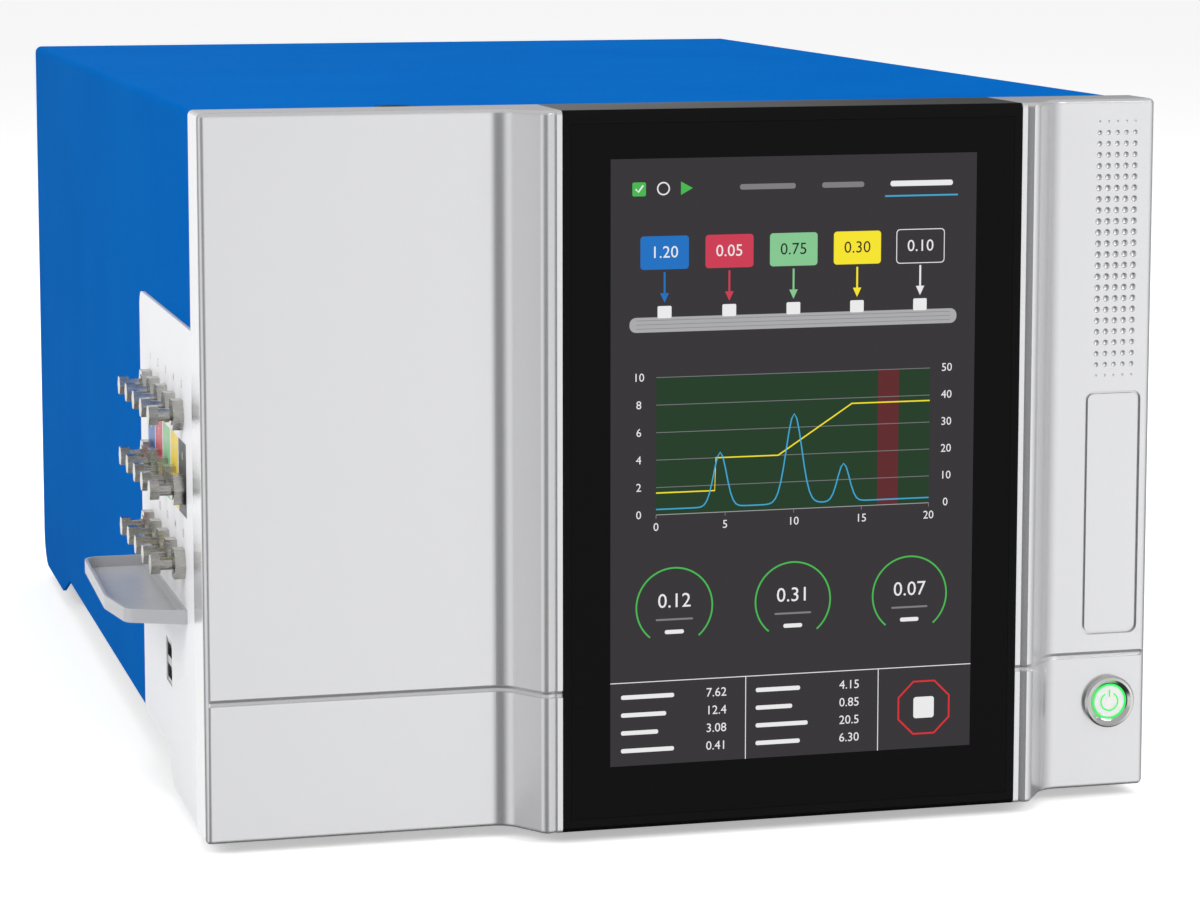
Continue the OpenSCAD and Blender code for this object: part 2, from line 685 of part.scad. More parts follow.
// Connection panel with its fittings
port_cols = 5;
port_rows = 3;
function column_y(k) = front_y + port_y + k * port_py;
function row_z(r) = port_z - r * port_pz;
module at_ports() {
  for (k = [0:port_cols - 1], r = [0:port_rows - 1]) translate([0, column_y(k), row_z(r)]) children();
}
usb_w = 14.6;
usb_h = 16.8;
usb_mid_y = front_y + usb_y;
tab_y = [14, 92];
tab_len = 12;
tab_h = 2.4;
tab_drop = 2.2;
module tab_places() {
  for (y = tab_y) translate([0, front_y + tray_y + y, tray_z - tray_h]) children();
}
module side_panel() {
  color(white) difference() {
    plate_x(-side_out, -side_in) side_outline(0);
    at_ports() rod_x(-side_out - over, -side_in + over, 0, 0, union_r + slip);
    slab([-side_out - over, usb_mid_y - usb_w / 2 - 0.2, usb_z - usb_h / 2 - 0.2],
      [-side_in + over, usb_mid_y + usb_w / 2 + 0.2, usb_z + usb_h / 2 + 0.2]);
    tab_places() slab([-side_out - over, -slip, -tab_drop - slip], [-side_in + over, tab_len + slip, tab_h + slip]);
  }
}
union_out = side_out + nut_h + 0.3;
union_hex = 5;
union_tail = 10;
tail_r = 3;
port_r = plug_r + run_fit;
port_deep = 6;
tube_r = 0.8;
module bulkhead_unions() {
  color(steel) at_ports() difference() {
    union() {
      rod_x(-union_out, -side_in + 1, 0, 0, union_r);
      hex_x(-side_in, -side_in + union_hex, 0, 0, nut_af);
      rod_x(-side_in + union_hex - 1, -side_in + union_hex + union_tail, 0, 0, tail_r);
    }
    rod_x(-union_out - over, -union_out + port_deep, 0, 0, port_r);
    rod_x(-union_out, -side_in + union_hex + union_tail + over, 0, 0, tube_r);
  }
}
module panel_nuts() {
  color(steel) at_ports() difference() {
    hex_x(-side_out - nut_h, -side_out, 0, 0, nut_af);
    rod_x(-side_out - nut_h - over, -side_out + over, 0, 0, union_r + run_fit);
  }
}
plug_head = 3.5;
plug_x = side_out + nut_h + plug_out;
module tube_plugs() {
  color("#c4c3bd") at_ports() {
    rod_x(-plug_x - 0.5, -union_out + port_deep, 0, 0, plug_r);
    hex_x(-plug_x - plug_head, -plug_x, 0, 0, plug_af);
  }
}

// Drip tray: folded dish hooked into two slots
tray_corner = 6;
module tray_outline() {
  y0 = front_y + tray_y;
  offset(r = tray_corner) offset(delta = -tray_corner)
    polygon([[-side_out + tray_corner * 3, y0], [-side_out, y0], [-side_out - tray_out * 0.83, y0 + 9],
      [-side_out - tray_out, y0 + 37], [-side_out - tray_out + 1.6, y0 + tray_len],
      [-side_out + tray_corner * 3, y0 + tray_len]]);
}
module drip_tray() {
  color("#e4e4e7") {
    difference() {
      translate([0, 0, tray_z - tray_h]) linear_extrude(tray_h) tray_outline();
      translate([0, 0, tray_z - tray_h + tray_t]) linear_extrude(tray_h) difference() {
        offset(delta = -tray_t) tray_outline();
        translate([-side_out - tray_t, -body_d]) square([body_w, 2 * body_d]);
      }
      translate([-side_out, -body_d, 0]) cube([body_w, 2 * body_d, 2 * body_h]);
    }
    tab_places() {
      slab([-side_out - 0.2, 0, 0], [-side_in + 0.2 + tray_t, tab_len, tab_h]);
      slab([-side_in + 0.2, 0, -tab_drop], [-side_in + 0.2 + tray_t, tab_len, 0.1]);
    }
  }
}

// Socket pair and the board that carries it
usb_deep = 17.5;
usb_shell = 0.5;
slot_open_w = 12.5;
slot_open_h = 5.2;
board_top = usb_z - usb_h / 2;
module usb_port() {
  color("#8f9194") translate([-side_out + 0.4, usb_mid_y, usb_z]) {
    difference() {
      slab([0, -usb_w / 2, -usb_h / 2], [usb_deep, usb_w / 2, usb_h / 2]);
      for (s = [-1, 1]) slab([-over, -slot_open_w / 2, s * usb_h / 4 - slot_open_h / 2],
        [usb_deep - 4, slot_open_w / 2, s * usb_h / 4 + slot_open_h / 2]);
    }
    for (s = [-1, 1]) slab([1, -5.5, s * usb_h / 4 + 0.1], [usb_deep - 3.9, 5.5, s * usb_h / 4 + 1.9]);
  }
}
port_board_x = [-side_in + 1, -side_in + 51];
module port_board() {
  color(board_green) union() {
    slab([port_board_x[0], usb_mid_y - 22, board_top - board_t], [port_board_x[1], usb_mid_y + 22, board_top]);
    slab([port_board_x[1] - 14, usb_mid_y - 14, board_top - 0.1], [port_board_x[1] - 6, usb_mid_y + 14, board_top + 7]);
  }
}
post_r = 3;
board_gap = 8;
main_z = deck_z + board_gap;
main_x = [-130, 78];
main_y = [62, panel_in - 8];
io_z = main_z + board_t;
module board_standoffs() {
  color(zinc) union() {
    for (x = [main_x[0] + 6, main_x[1] - 6], y = [main_y[0] + 6, (main_y[0] + main_y[1]) / 2, main_y[1] - 6])
      rod_z(deck_z, main_z, x, y, post_r);
    for (x = [port_board_x[0] + 8, port_board_x[1] - 5], s = [-1, 1])
      rod_z(deck_z, board_top - board_t, x, usb_mid_y + s * 18, post_r);
  }
}

// Rubber feet with a screw sunk from below
foot_taper = 2;
sink_r = 4.5;
sink_h = 8;
module at_feet() {
  for (sx = [-1, 1], sy = [-1, 1]) translate([sx * foot_px / 2, sy * foot_py / 2, 0]) children();
}
module rubber_feet() {
  color("#1a1a1b") at_feet() rotate_extrude()
    polygon([[sink_r, 0], [foot_r - 0.8, 0], [foot_r, 0.8], [foot_r + foot_taper, floor_z],
      [foot_hole, floor_z], [foot_hole, sink_h], [sink_r, sink_h]]);
}
module foot_screws() {
  color(zinc) at_feet() rotate_extrude()
    polygon([[0, sink_h - 1.4], [1.2, sink_h - 2.6], [2.6, sink_h - 2.6], [3.8, sink_h - 1.2],
      [3.8, sink_h], [foot_hole - slip, sink_h], [foot_hole - slip, deck_z + 4], [0, deck_z + 4]]);
}

// Mains inlet with socket, fuse drawer and rocker
inlet_w = 31;
inlet_h = 68;
inlet_rim = 2.5;
inlet_body_w = 27;
inlet_body_h = 60;
inlet_deep = 26;
inlet_face = panel_in + panel_t + inlet_rim;
socket_w = 24;
socket_h = 16.5;
socket_deep = 17;
socket_z = inlet_z - 18;
bay_w = 20;
bay_h = 10;
bay_deep = 24;
fuse_r = 2.55;
fuse_len = 20;
fuse_px = 9.2;
fuse_floor = 3;
bay_z = inlet_z + 1.5;
rocker_w = 13;
rocker_l = 9;
rocker_z = inlet_z + 18.5;
rocker_gap = 0.8;
pivot_r = 1.2;
pivot_y = inlet_face - 1.5;
rocker_tilt = 8;
fit = 0.15;
module inlet_2d(w, h, cut) {
  difference() {
    square([w, h], center = true);
    for (s = [-1, 1]) translate([s * w / 2, h / 2]) rotate(45) square(cut * sqrt(2), center = true);
  }
}
module mains_inlet() {
  color("#1c1d1f") difference() {
    union() {
      plate_y(panel_in + panel_t, inlet_face) translate([inlet_x, inlet_z]) round_rect(inlet_w, inlet_h, 3);
      slab([inlet_x - inlet_body_w / 2, panel_in - inlet_deep, inlet_z - inlet_body_h / 2],
        [inlet_x + inlet_body_w / 2, panel_in + panel_t + 1, inlet_z + inlet_body_h / 2]);
    }
    plate_y(inlet_face - socket_deep, inlet_face + over) translate([inlet_x, socket_z])
      inlet_2d(socket_w, socket_h, 3.5);
    slab([inlet_x - bay_w / 2, inlet_face - bay_deep, bay_z - bay_h / 2],
      [inlet_x + bay_w / 2, inlet_face + over, bay_z + bay_h / 2]);
    slab([inlet_x - rocker_w / 2, pivot_y - 8, rocker_z - rocker_l - rocker_gap],
      [inlet_x + rocker_w / 2, inlet_face + over, rocker_z + rocker_l + rocker_gap]);
    rod_x(inlet_x - rocker_w / 2 - 3, inlet_x + rocker_w / 2 + 3, pivot_y - 2, rocker_z, pivot_r + run_fit);
    for (p = inlet_pin_places) slab([inlet_x + p[0] - 1 - slip, panel_in - inlet_deep - over, socket_z + p[1] - 2 - slip],
      [inlet_x + p[0] + 1 + slip, inlet_face - socket_deep + over, socket_z + p[1] + 2 + slip]);
  }
}
inlet_pin_places = [[-7, -2], [0, 2], [7, -2]];
pin_out = 11.5;
module inlet_pins() {
  color(steel) for (p = inlet_pin_places)
    slab([inlet_x + p[0] - 1, panel_in - inlet_deep - 7, socket_z + p[1] - 2],
      [inlet_x + p[0] + 1, inlet_face - socket_deep + pin_out, socket_z + p[1] + 2]);
}
fuse_y = inlet_face - bay_deep + 1.6;
module fuse_drawer() {
  color("#2a2b2d") difference() {
    union() {
      slab([inlet_x - bay_w / 2 + fit, inlet_face - bay_deep + 0.5, bay_z - bay_h / 2 + fit],
        [inlet_x + bay_w / 2 - fit, inlet_face + 0.6, bay_z + bay_h / 2 - fit]);
      slab([inlet_x - bay_w / 2 - 0.8, inlet_face + fit, bay_z - bay_h / 2 - 0.3],
        [inlet_x + bay_w / 2 + 0.8, inlet_face + 1.4, bay_z + bay_h / 2 + 0.3]);
    }
    for (s = [-1, 1]) slab([inlet_x + s * fuse_px / 2 - fuse_r - slip, fuse_y - slip, bay_z - fuse_floor],
      [inlet_x + s * fuse_px / 2 + fuse_r + slip, fuse_y + fuse_len + slip, bay_z + bay_h / 2]);
    slab([inlet_x - 3, inlet_face + 0.7, bay_z - bay_h / 2 - 0.4], [inlet_x + 3, inlet_face + 2, bay_z - bay_h / 2 + 2.2]);
  }
}
module fuses() {
  color("#d9dcd8") for (s = [-1, 1]) rod_y(fuse_y, fuse_y + fuse_len, inlet_x + s * fuse_px / 2,
    bay_z - fuse_floor + fuse_r, fuse_r);
}
module mains_rocker() {
  y = pivot_y - 2;
  color("#232425") translate([inlet_x, y, rocker_z]) rotate([rocker_tilt, 0, 0]) {
    plate_x(-rocker_w / 2 + fit, rocker_w / 2 - fit)
      polygon([[4.6, 0], [6.2, rocker_l], [-3, rocker_l - 0.6], [-3.6, 0], [-3, 0.6 - rocker_l], [6.2, -rocker_l]]);
    rod_x(-rocker_w / 2 - 2.5, rocker_w / 2 + 2.5, 0, 0, pivot_r);
  }
}

// Fan: frame with bearing tube, rotor with tilted blades
fan_y0 = panel_in - fan_d;
fan_hub = 13;
fan_pin = 1.5;
fan_gap = 0.8;
blade_n = 7;
blade_t = 1.4;
blade_tilt = 38;
rotor_d = fan_d - 8;
strut_w = 4;
module fan_frame() {
  color("#1d1d1f") difference() {
    union() {
      difference() {
        plate_y(fan_y0, panel_in) translate([fan_x, fan_z]) round_rect(fan_w, fan_w, 4);
        rod_y(fan_y0 - over, panel_in + over, fan_x, fan_z, fan_bore);
      }
      for (a = [0:120:240]) translate([fan_x, fan_y0, fan_z]) rotate([0, a + 30, 0])
        slab([0, 0, -strut_w / 2], [fan_bore + 1, 3, strut_w / 2]);
      rod_y(fan_y0, fan_y0 + 3, fan_x, fan_z, fan_hub);
      rod_y(fan_y0, fan_y0 + 12, fan_x, fan_z, 3.5);
    }
    rod_y(fan_y0 - over, panel_in, fan_x, fan_z, fan_pin + run_fit);
    for (sx = [-1, 1], sz = [-1, 1])
      rod_y(fan_y0 - over, panel_in + over, fan_x + sx * fan_hole_in, fan_z + sz * fan_hole_in, 1.9);
  }
}
module fan_rotor() {
  y0 = fan_y0 + 4;
  color("#2b2b2e") {
    difference() {
      rod_y(y0, y0 + rotor_d, fan_x, fan_z, fan_hub);
      rod_y(y0 - over, y0 + rotor_d - 2, fan_x, fan_z, fan_hub - 1.6);
    }
    rod_y(fan_y0 + 0.3, y0 + rotor_d - 1, fan_x, fan_z, fan_pin);
    intersection() {
      difference() {
        rod_y(y0, y0 + rotor_d, fan_x, fan_z, fan_bore - fan_gap);
        rod_y(y0 - over, y0 + rotor_d + over, fan_x, fan_z, fan_hub - 0.5);
      }
      union() {
        for (i = [0:blade_n - 1]) translate([fan_x, y0 + rotor_d / 2, fan_z]) rotate([0, 360 * i / blade_n, 0])
          rotate([blade_tilt, 0, 0]) slab([fan_hub - 1, -fan_d, -blade_t / 2], [fan_bore, fan_d, blade_t / 2]);
      }
    }
  }
}
guard_t = 1.6;
guard_y = panel_in + panel_t;
module fan_guard() {
  color("#c9c9c6") plate_y(guard_y, guard_y + guard_t) translate([fan_x, fan_z]) difference() {
    union() {
      for (r = [7, 14, 21, 28]) difference() {
        circle(r);
        circle(r - guard_t);
      }
      for (a = [45, 135]) rotate(a) square([2 * sqrt(2) * fan_hole_in, 2.4], center = true);
      for (sx = [-1, 1], sz = [-1, 1]) translate([sx * fan_hole_in, sz * fan_hole_in]) circle(4.5);
    }
    for (sx = [-1, 1], sz = [-1, 1]) translate([sx * fan_hole_in, sz * fan_hole_in]) circle(2.2);
  }
}
module fan_screws() {
  color(zinc) for (sx = [-1, 1], sz = [-1, 1])
    translate([fan_x + sx * fan_hole_in, guard_y + guard_t, fan_z + sz * fan_hole_in])
      pan_screw(1.8, 3.6, 1.9, 15);
}

// Rear sockets
jack_n = 2;
jack_w = 16;
jack_h = 13.5;
jack_pitch = 18;
jack_x = -40;
jack_d = 21;
jack_face = panel_in + panel_t + 0.4;
module network_ports() {
  color("#b7b9bb") for (k = [0:jack_n - 1]) translate([jack_x + k * jack_pitch, jack_face, io_z]) difference() {
    slab([-jack_w / 2, -jack_d, 0], [jack_w / 2, 0, jack_h]);
    slab([-jack_open_w / 2, -jack_deep, 3.4], [jack_open_w / 2, over, 3.4 + jack_open_h]);
    slab([-3.2, -jack_deep, 1.4], [3.2, over, 4]);
  }
}
jack_open_w = 11.8;
jack_open_h = 7.2;
jack_deep = 14;
term_n = 8;
term_pitch = 3.81;
term_w = term_n * term_pitch + 2;
term_h = 11;
term_x = -95;
module signal_terminals() {
  color("#2f8f4d") translate([term_x, panel_in + panel_t + 1.5, io_z]) difference() {
    slab([-term_w / 2, -16, 0], [term_w / 2, 0, term_h]);
    for (k = [0:term_n - 1]) {
      x = (k - (term_n - 1) / 2) * term_pitch;
      slab([x - 1.3, -6, 2], [x + 1.3, over, 4.6]);
      rod_y(-3, over, x, 7.6, 1.4);
    }
  }
}
stud_x = 92;
stud_z = 46;
stud_r = 2;
module ground_stud() {
  color("#c8b06a") {
    rod_y(panel_in - 7, panel_in + panel_t + 14, stud_x, stud_z, stud_r);
    for (y = [panel_in - 3.2, panel_in + panel_t, panel_in + panel_t + 4])
      translate([stud_x, y, stud_z]) rotate([-90, 0, 0]) cylinder(r = 4.04, h = 3.2, $fn = 6);
  }
}

// Electronics on the deck
psu_x0 = 90;
psu_w = 78;
psu_y0 = 60;
psu_d = 160;
psu_h = 42;
module power_supply() {
  color("#a9adb0") difference() {
    slab([psu_x0, psu_y0, deck_z], [psu_x0 + psu_w, psu_y0 + psu_d, deck_z + psu_h]);
    slab([psu_x0 + 1.5, psu_y0 - over, deck_z + 12], [psu_x0 + psu_w - 1.5, psu_y0 + 14, deck_z + psu_h - 1.5]);
    for (k = [0:9], j = [0:3]) rod_z(deck_z + psu_h - 3, deck_z + psu_h + over,
      psu_x0 + 15 + j * 16, psu_y0 + 30 + k * 12, 3);
  }
}
chips = [[-90, 110, 26], [-40, 120, 34], [20, 110, 22], [-80, 180, 20], [10, 190, 28], [45, 150, 16]];
module main_board() {
  color(board_green) union() {
    slab([main_x[0], main_y[0], main_z], [main_x[1], main_y[1], io_z]);
    for (c = chips) slab([c[0] - c[2] / 2, c[1] - c[2] / 2, io_z - 0.1], [c[0] + c[2] / 2, c[1] + c[2] / 2, io_z + 2.4]);
    for (k = [0:5]) rod_z(io_z - 0.1, io_z + 14, -118 + k * 12, 215, 4.5);
    slab([cable_x - cable_w / 2 - 2, main_y[0] + 3, io_z - 0.1], [cable_x + cable_w / 2 + 2, main_y[0] + 11, io_z + 6]);
  }
}
cable_t = 1.2;
cable_floor = deck_z + 4;
module ribbon_cable() {
  x = [cable_x - cable_w / 2, cable_x + cable_w / 2];
  y0 = display_board_y + board_t + 5;
  y1 = frame_y + 8;
  y2 = main_y[0] - 5;
  z3 = io_z + 8;
  color("#8d8f93") {
    slab([x[0], y0, cable_z - cable_t], [x[1], y1, cable_z]);
    slab([x[0], y1 - cable_t, cable_floor], [x[1], y1, cable_z]);
    slab([x[0], y1 - cable_t, cable_floor], [x[1], y2, cable_floor + cable_t]);
    slab([x[0], y2 - cable_t, cable_floor], [x[1], y2, z3]);
    slab([x[0], y2 - cable_t, z3 - cable_t], [x[1], main_y[0] + 8, z3]);
    slab([x[0], main_y[0] + 6, io_z + 6], [x[1], main_y[0] + 8, z3]);
  }
}

// Flow section: bracket, manifold and the valve behind the connection panel
bracket_y = side_y1 + 9;
bracket_x = [-160, 35];
bracket_top = 215;
valve_x = -5;
valve_z = 150;
valve_r = 25;
valve_len = 36;
shaft_r = 5;
manifold_x = [-150, -68];
manifold_d = 30;
manifold_pad = 10;
manifold_z = [row_z(port_rows - 1) - manifold_pad, row_z(0) + manifold_pad];
module manifold_bracket() {
  color(zinc) difference() {
    union() {
      slab([bracket_x[0], bracket_y, deck_z], [bracket_x[1], bracket_y + chassis_t, bracket_top]);
      slab([bracket_x[0], bracket_y + over, deck_z], [bracket_x[1], bracket_y + 24, deck_z + chassis_t]);
      slab([filter_x - 9, filter_y + 1, filter_z + 10], [filter_x + 9, bracket_y + over, filter_z + 24]);
      for (x = [bracket_x[0], bracket_x[1] - chassis_t]) plate_x(x, x + chassis_t)
        polygon([[bracket_y + over, deck_z], [bracket_y + 24, deck_z], [bracket_y + over, deck_z + 90]]);
    }
    rod_y(bracket_y - over, bracket_y + chassis_t + over, valve_x, valve_z, shaft_r + 2);
    rod_z(deck_z, bracket_top, filter_x, filter_y, filter_r + run_fit);
  }
}
elbow_r = 9;
tube_x0 = -side_in + union_hex + union_tail;
function tube_x(k) = manifold_x[0] + 12 + (port_cols - 1 - k) * 14;
module flow_manifold() {
  color("#d9d3c0") difference() {
    slab([manifold_x[0], bracket_y - manifold_d, manifold_z[0]], [manifold_x[1], bracket_y, manifold_z[1]]);
    for (k = [0:port_cols - 1], r = [0:port_rows - 1])
      rod_y(bracket_y - manifold_d - over, bracket_y - 8, tube_x(k), row_z(r), tube_r + run_fit);
  }
}
module capillary_tubes() {
  color("#c9a35c") for (k = [0:port_cols - 1], r = [0:port_rows - 1]) translate([0, 0, row_z(r)]) {
    y = column_y(k);
    rod_x(tube_x0 - 4, tube_x(k) - elbow_r + 0.01, y, 0, tube_r - run_fit);
    translate([tube_x(k) - elbow_r, y + elbow_r, 0]) rotate([0, 0, -90]) rotate_extrude(angle = 90)
      translate([elbow_r, 0]) circle(tube_r - run_fit);
    rod_y(y + elbow_r - 0.01, bracket_y - manifold_d + 6, tube_x(k), 0, tube_r - run_fit);
  }
}
module pressure_sensors() {
  color("#a8abae") for (k = [0:2]) translate([manifold_x[0] + 16 + k * 25, bracket_y - manifold_d / 2, manifold_z[1]]) {
    cylinder(r = 9, h = 8, $fn = 6);
    translate([0, 0, 8]) cylinder(r = 8.5, h = 26);
    translate([0, 0, 34]) cylinder(r = 5, h = 9);
  }
}
module solenoid_valves() {
  color("#3a3c40") for (k = [0:2]) translate([manifold_x[0] + 16 + k * 25, bracket_y - manifold_d / 2, manifold_z[0]]) {
    slab([-8, -11, -16], [8, 11, 0]);
    translate([0, 0, -44]) cylinder(r = 9, h = 28.1);
  }
}
filter_x = 20;
filter_r = 7;
filter_y = bracket_y - filter_r - 3;
filter_z = 70;
module inline_filter() {
  color("#bcbcb6") translate([filter_x, filter_y, filter_z]) {
    cylinder(r = filter_r, h = 34);
    translate([0, 0, -6]) cylinder(r = 5.5, h = 46, $fn = 6);
  }
}
stator_wall = 3;
module valve_stator() {
  color("#b3b0a6") difference() {
    rod_y(bracket_y - valve_len, bracket_y, valve_x, valve_z, valve_r);
    rod_y(bracket_y - valve_len + 14, bracket_y - stator_wall, valve_x, valve_z, valve_r - 4);
    rod_y(bracket_y - stator_wall - over, bracket_y + over, valve_x, valve_z, shaft_r + run_fit);
    for (a = [0:60:300]) rod_y(bracket_y - valve_len - over, bracket_y - valve_len + 11,
      valve_x + 12 * cos(a), valve_z + 12 * sin(a), 2.4);
  }
}
module valve_rotor() {
  color("#d8c9a0") {
    rod_y(bracket_y - valve_len + 14.3, bracket_y - stator_wall - 0.3, valve_x, valve_z, valve_r - 4.3);
    rod_y(bracket_y - stator_wall - 1, bracket_y + chassis_t + 12, valve_x, valve_z, shaft_r);
  }
}
motor_r = 21;
module valve_motor() {
  color("#2d2f33") difference() {
    union() {
      rod_y(bracket_y + chassis_t, bracket_y + chassis_t + 26, valve_x, valve_z, motor_r);
      rod_y(bracket_y + chassis_t + 25, bracket_y + chassis_t + 72, valve_x, valve_z, motor_r - 3);
    }
    rod_y(bracket_y, bracket_y + chassis_t + 13, valve_x, valve_z, shaft_r + run_fit);
  }
}
module flow_controllers() {
  color("#c2c6ca") for (k = [0:2]) translate([-135 + k * 50, bracket_y + 60, deck_z]) {
    slab([-16, 0, 0], [16, 76, 24]);
    slab([-15, 4, 23.9], [15, 50, 92]);
    translate([0, 62, 23.9]) cylinder(r = 10, h = 40);
    translate([0, 62, 63]) cylinder(r = 6, h = 12);
  }
}

base_chassis();
front_frame();
top_cover();
rear_panel();
left_fascia();
right_fascia();
badge_insert();
display_bezel();
display_glass();
lcd_panel();
display_board();
button_collar();
button_light_ring();
power_button();
button_switch();
button_nut();
side_panel();
bulkhead_unions();
panel_nuts();
tube_plugs();
drip_tray();
usb_port();
port_board();
top_plug();
rubber_feet();
foot_screws();
cover_screws();
rear_screws();
fascia_screws();
mains_inlet();
inlet_pins();
fuse_drawer();
fuses();
mains_rocker();
fan_frame();
fan_rotor();
fan_guard();
fan_screws();
network_ports();
signal_terminals();
ground_stud();
power_supply();
main_board();
board_standoffs();
manifold_bracket();
flow_manifold();
capillary_tubes();
flow_controllers();
valve_stator();
valve_rotor();
valve_motor();
pressure_sensors();
inline_filter();
solenoid_valves();
ribbon_cable();
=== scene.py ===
import math

import bmesh
import bpy
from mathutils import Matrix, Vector


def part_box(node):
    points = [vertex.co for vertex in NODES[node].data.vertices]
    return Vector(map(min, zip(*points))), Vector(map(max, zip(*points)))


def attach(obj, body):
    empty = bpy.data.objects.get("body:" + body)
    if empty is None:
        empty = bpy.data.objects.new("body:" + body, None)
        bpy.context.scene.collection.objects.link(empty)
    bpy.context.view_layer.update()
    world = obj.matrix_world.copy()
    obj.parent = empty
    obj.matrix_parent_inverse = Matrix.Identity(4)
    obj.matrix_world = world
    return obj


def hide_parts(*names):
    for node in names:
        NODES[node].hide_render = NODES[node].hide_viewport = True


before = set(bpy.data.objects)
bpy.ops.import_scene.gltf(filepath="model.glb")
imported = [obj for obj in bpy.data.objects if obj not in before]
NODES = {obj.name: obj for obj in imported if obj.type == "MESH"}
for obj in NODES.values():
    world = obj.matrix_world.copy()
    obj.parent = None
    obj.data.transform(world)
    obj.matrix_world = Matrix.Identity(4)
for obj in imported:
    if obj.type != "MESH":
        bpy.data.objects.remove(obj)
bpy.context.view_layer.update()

MM = 0.001


# Colour and node helpers

def linear(hex_colour, alpha=1.0):
    """An sRGB hex colour as the linear RGBA that Blender's sockets take."""
    value = hex_colour.lstrip("#")
    out = []
    for i in (0, 2, 4):
        c = int(value[i:i + 2], 16) / 255
        out.append(c / 12.92 if c <= 0.04045 else ((c + 0.055) / 1.055) ** 2.4)
    return (*out, alpha)


def add(tree, kind, inputs=None, **settings):
    """Adds one node, sets its properties, and sets or links its inputs."""
    node = tree.nodes.new(kind)
    for key, value in settings.items():
        setattr(node, key, value)
    for key, value in (inputs or {}).items():
        if isinstance(value, bpy.types.NodeSocket):
            tree.links.new(value, node.inputs[key])
        else:
            node.inputs[key].default_value = value
    return node


def new_material(name):
    """An empty node material with its output, and object coordinates in metres."""
    material = bpy.data.materials.new(name)
    material.use_nodes = True
    tree = material.node_tree
    tree.nodes.clear()
    place = add(tree, "ShaderNodeTexCoord").outputs["Object"]
    return material, tree, place


def close_material(tree, shader):
    """Joins the shader to the material's output."""
    out = add(tree, "ShaderNodeOutputMaterial")
    tree.links.new(shader.outputs[0], out.inputs["Surface"])


def noise(tree, place, size_mm, detail=2.0, rough=0.5):
    """A noise pattern whose lumps are about size_mm across."""
    return add(tree, "ShaderNodeTexNoise", {"Vector": place, "Scale": 1000 / size_mm,
               "Detail": detail, "Roughness": rough}).outputs["Fac"]


def spread(tree, fac, low, high, start=0.3, end=0.7):
    """Maps a 0 to 1 pattern onto low to high."""
    return add(tree, "ShaderNodeMapRange", {"Value": fac, "From Min": start, "From Max": end,
               "To Min": low, "To Max": high}).outputs["Result"]


def tint(tree, fac, dark, light):
    """Runs from one sRGB colour to another with a 0 to 1 pattern."""
    return add(tree, "ShaderNodeMix", {"Factor": fac, 6: linear(dark), 7: linear(light)},
               data_type="RGBA").outputs[2]


def bump(tree, height, depth_mm):
    """Turns a 0 to 1 pattern into a relief of that depth."""
    return add(tree, "ShaderNodeBump", {"Height": height, "Distance": depth_mm * MM,
               "Strength": 1.0}).outputs["Normal"]


# Materials

def powder_coat(name, dark, light, roughness, orange_peel_mm=1.6, depth_mm=0.012, shine=0.3):
    """Powder coat sprayed and baked on sheet steel: an even colour with a fine orange peel.

    The real peel is 0.5 to 1 mm; it is drawn a little coarser so that it shows.
    """
    material, tree, place = new_material(name)
    patches = spread(tree, noise(tree, place, 90), 0, 1)
    peel = noise(tree, place, orange_peel_mm, 1.5)
    shader = add(tree, "ShaderNodeBsdfPrincipled", {
        "Base Color": tint(tree, patches, dark, light),
        "Roughness": spread(tree, peel, roughness - 0.04, roughness + 0.04),
        "Normal": bump(tree, peel, depth_mm),
        "Specular IOR Level": shine})
    close_material(tree, shader)
    return material


def lacquered_moulding():
    """Silver satin lacquer sprayed on moulded ABS: a smooth, even shell with tiny metal flakes."""
    material, tree, place = new_material("silver_lacquer_on_ABS")
    flakes = noise(tree, place, 0.9, 1.0)
    drift = spread(tree, noise(tree, place, 140), 0.235, 0.25)
    shader = add(tree, "ShaderNodeBsdfPrincipled", {
        "Base Color": tint(tree, flakes, "#d9d9db", "#dddddf"),
        "Metallic": 0.75,
        "Roughness": drift})
    close_material(tree, shader)
    return material


def gloss_black(name, colour, roughness):
    """Gloss black: printed cover glass or polished moulding, with faint wipe marks."""
    material, tree, place = new_material(name)
    wipes = noise(tree, place, 45, 3.0)
    shader = add(tree, "ShaderNodeBsdfPrincipled", {
        "Base Color": linear(colour),
        "Roughness": spread(tree, wipes, roughness, roughness + 0.05),
        "Specular IOR Level": 0.04})
    close_material(tree, shader)
    return material


def metal(name, colour, dark, roughness, size_mm, depth_mm=0.004, stretch=(1, 1, 1)):
    """A bare or plated metal whose tool marks or spangle run along one way."""
    material, tree, place = new_material(name)
    if stretch != (1, 1, 1):
        place = add(tree, "ShaderNodeMapping", {"Vector": place, "Scale": stretch}).outputs["Vector"]
    marks = noise(tree, place, size_mm, 3.0)
    shader = add(tree, "ShaderNodeBsdfPrincipled", {
        "Base Color": tint(tree, spread(tree, marks, 0, 1), dark, colour),
        "Metallic": 1.0,
        "Roughness": spread(tree, marks, roughness, roughness + 0.1),
        "Normal": bump(tree, marks, depth_mm)})
    close_material(tree, shader)
    return material


def plastic(name, colour, light, roughness, grain_mm=1.2, depth_mm=0.02):
    """A moulded plastic or rubber with the fine spark-eroded grain of its tool."""
    material, tree, place = new_material(name)
    grain = noise(tree, place, grain_mm, 2.0)
    shader = add(tree, "ShaderNodeBsdfPrincipled", {
        "Base Color": tint(tree, spread(tree, grain, 0, 1), colour, light),
        "Roughness": spread(tree, grain, roughness - 0.05, roughness + 0.05),
        "Normal": bump(tree, grain, depth_mm),
        "IOR": 1.49})
    close_material(tree, shader)
    return material


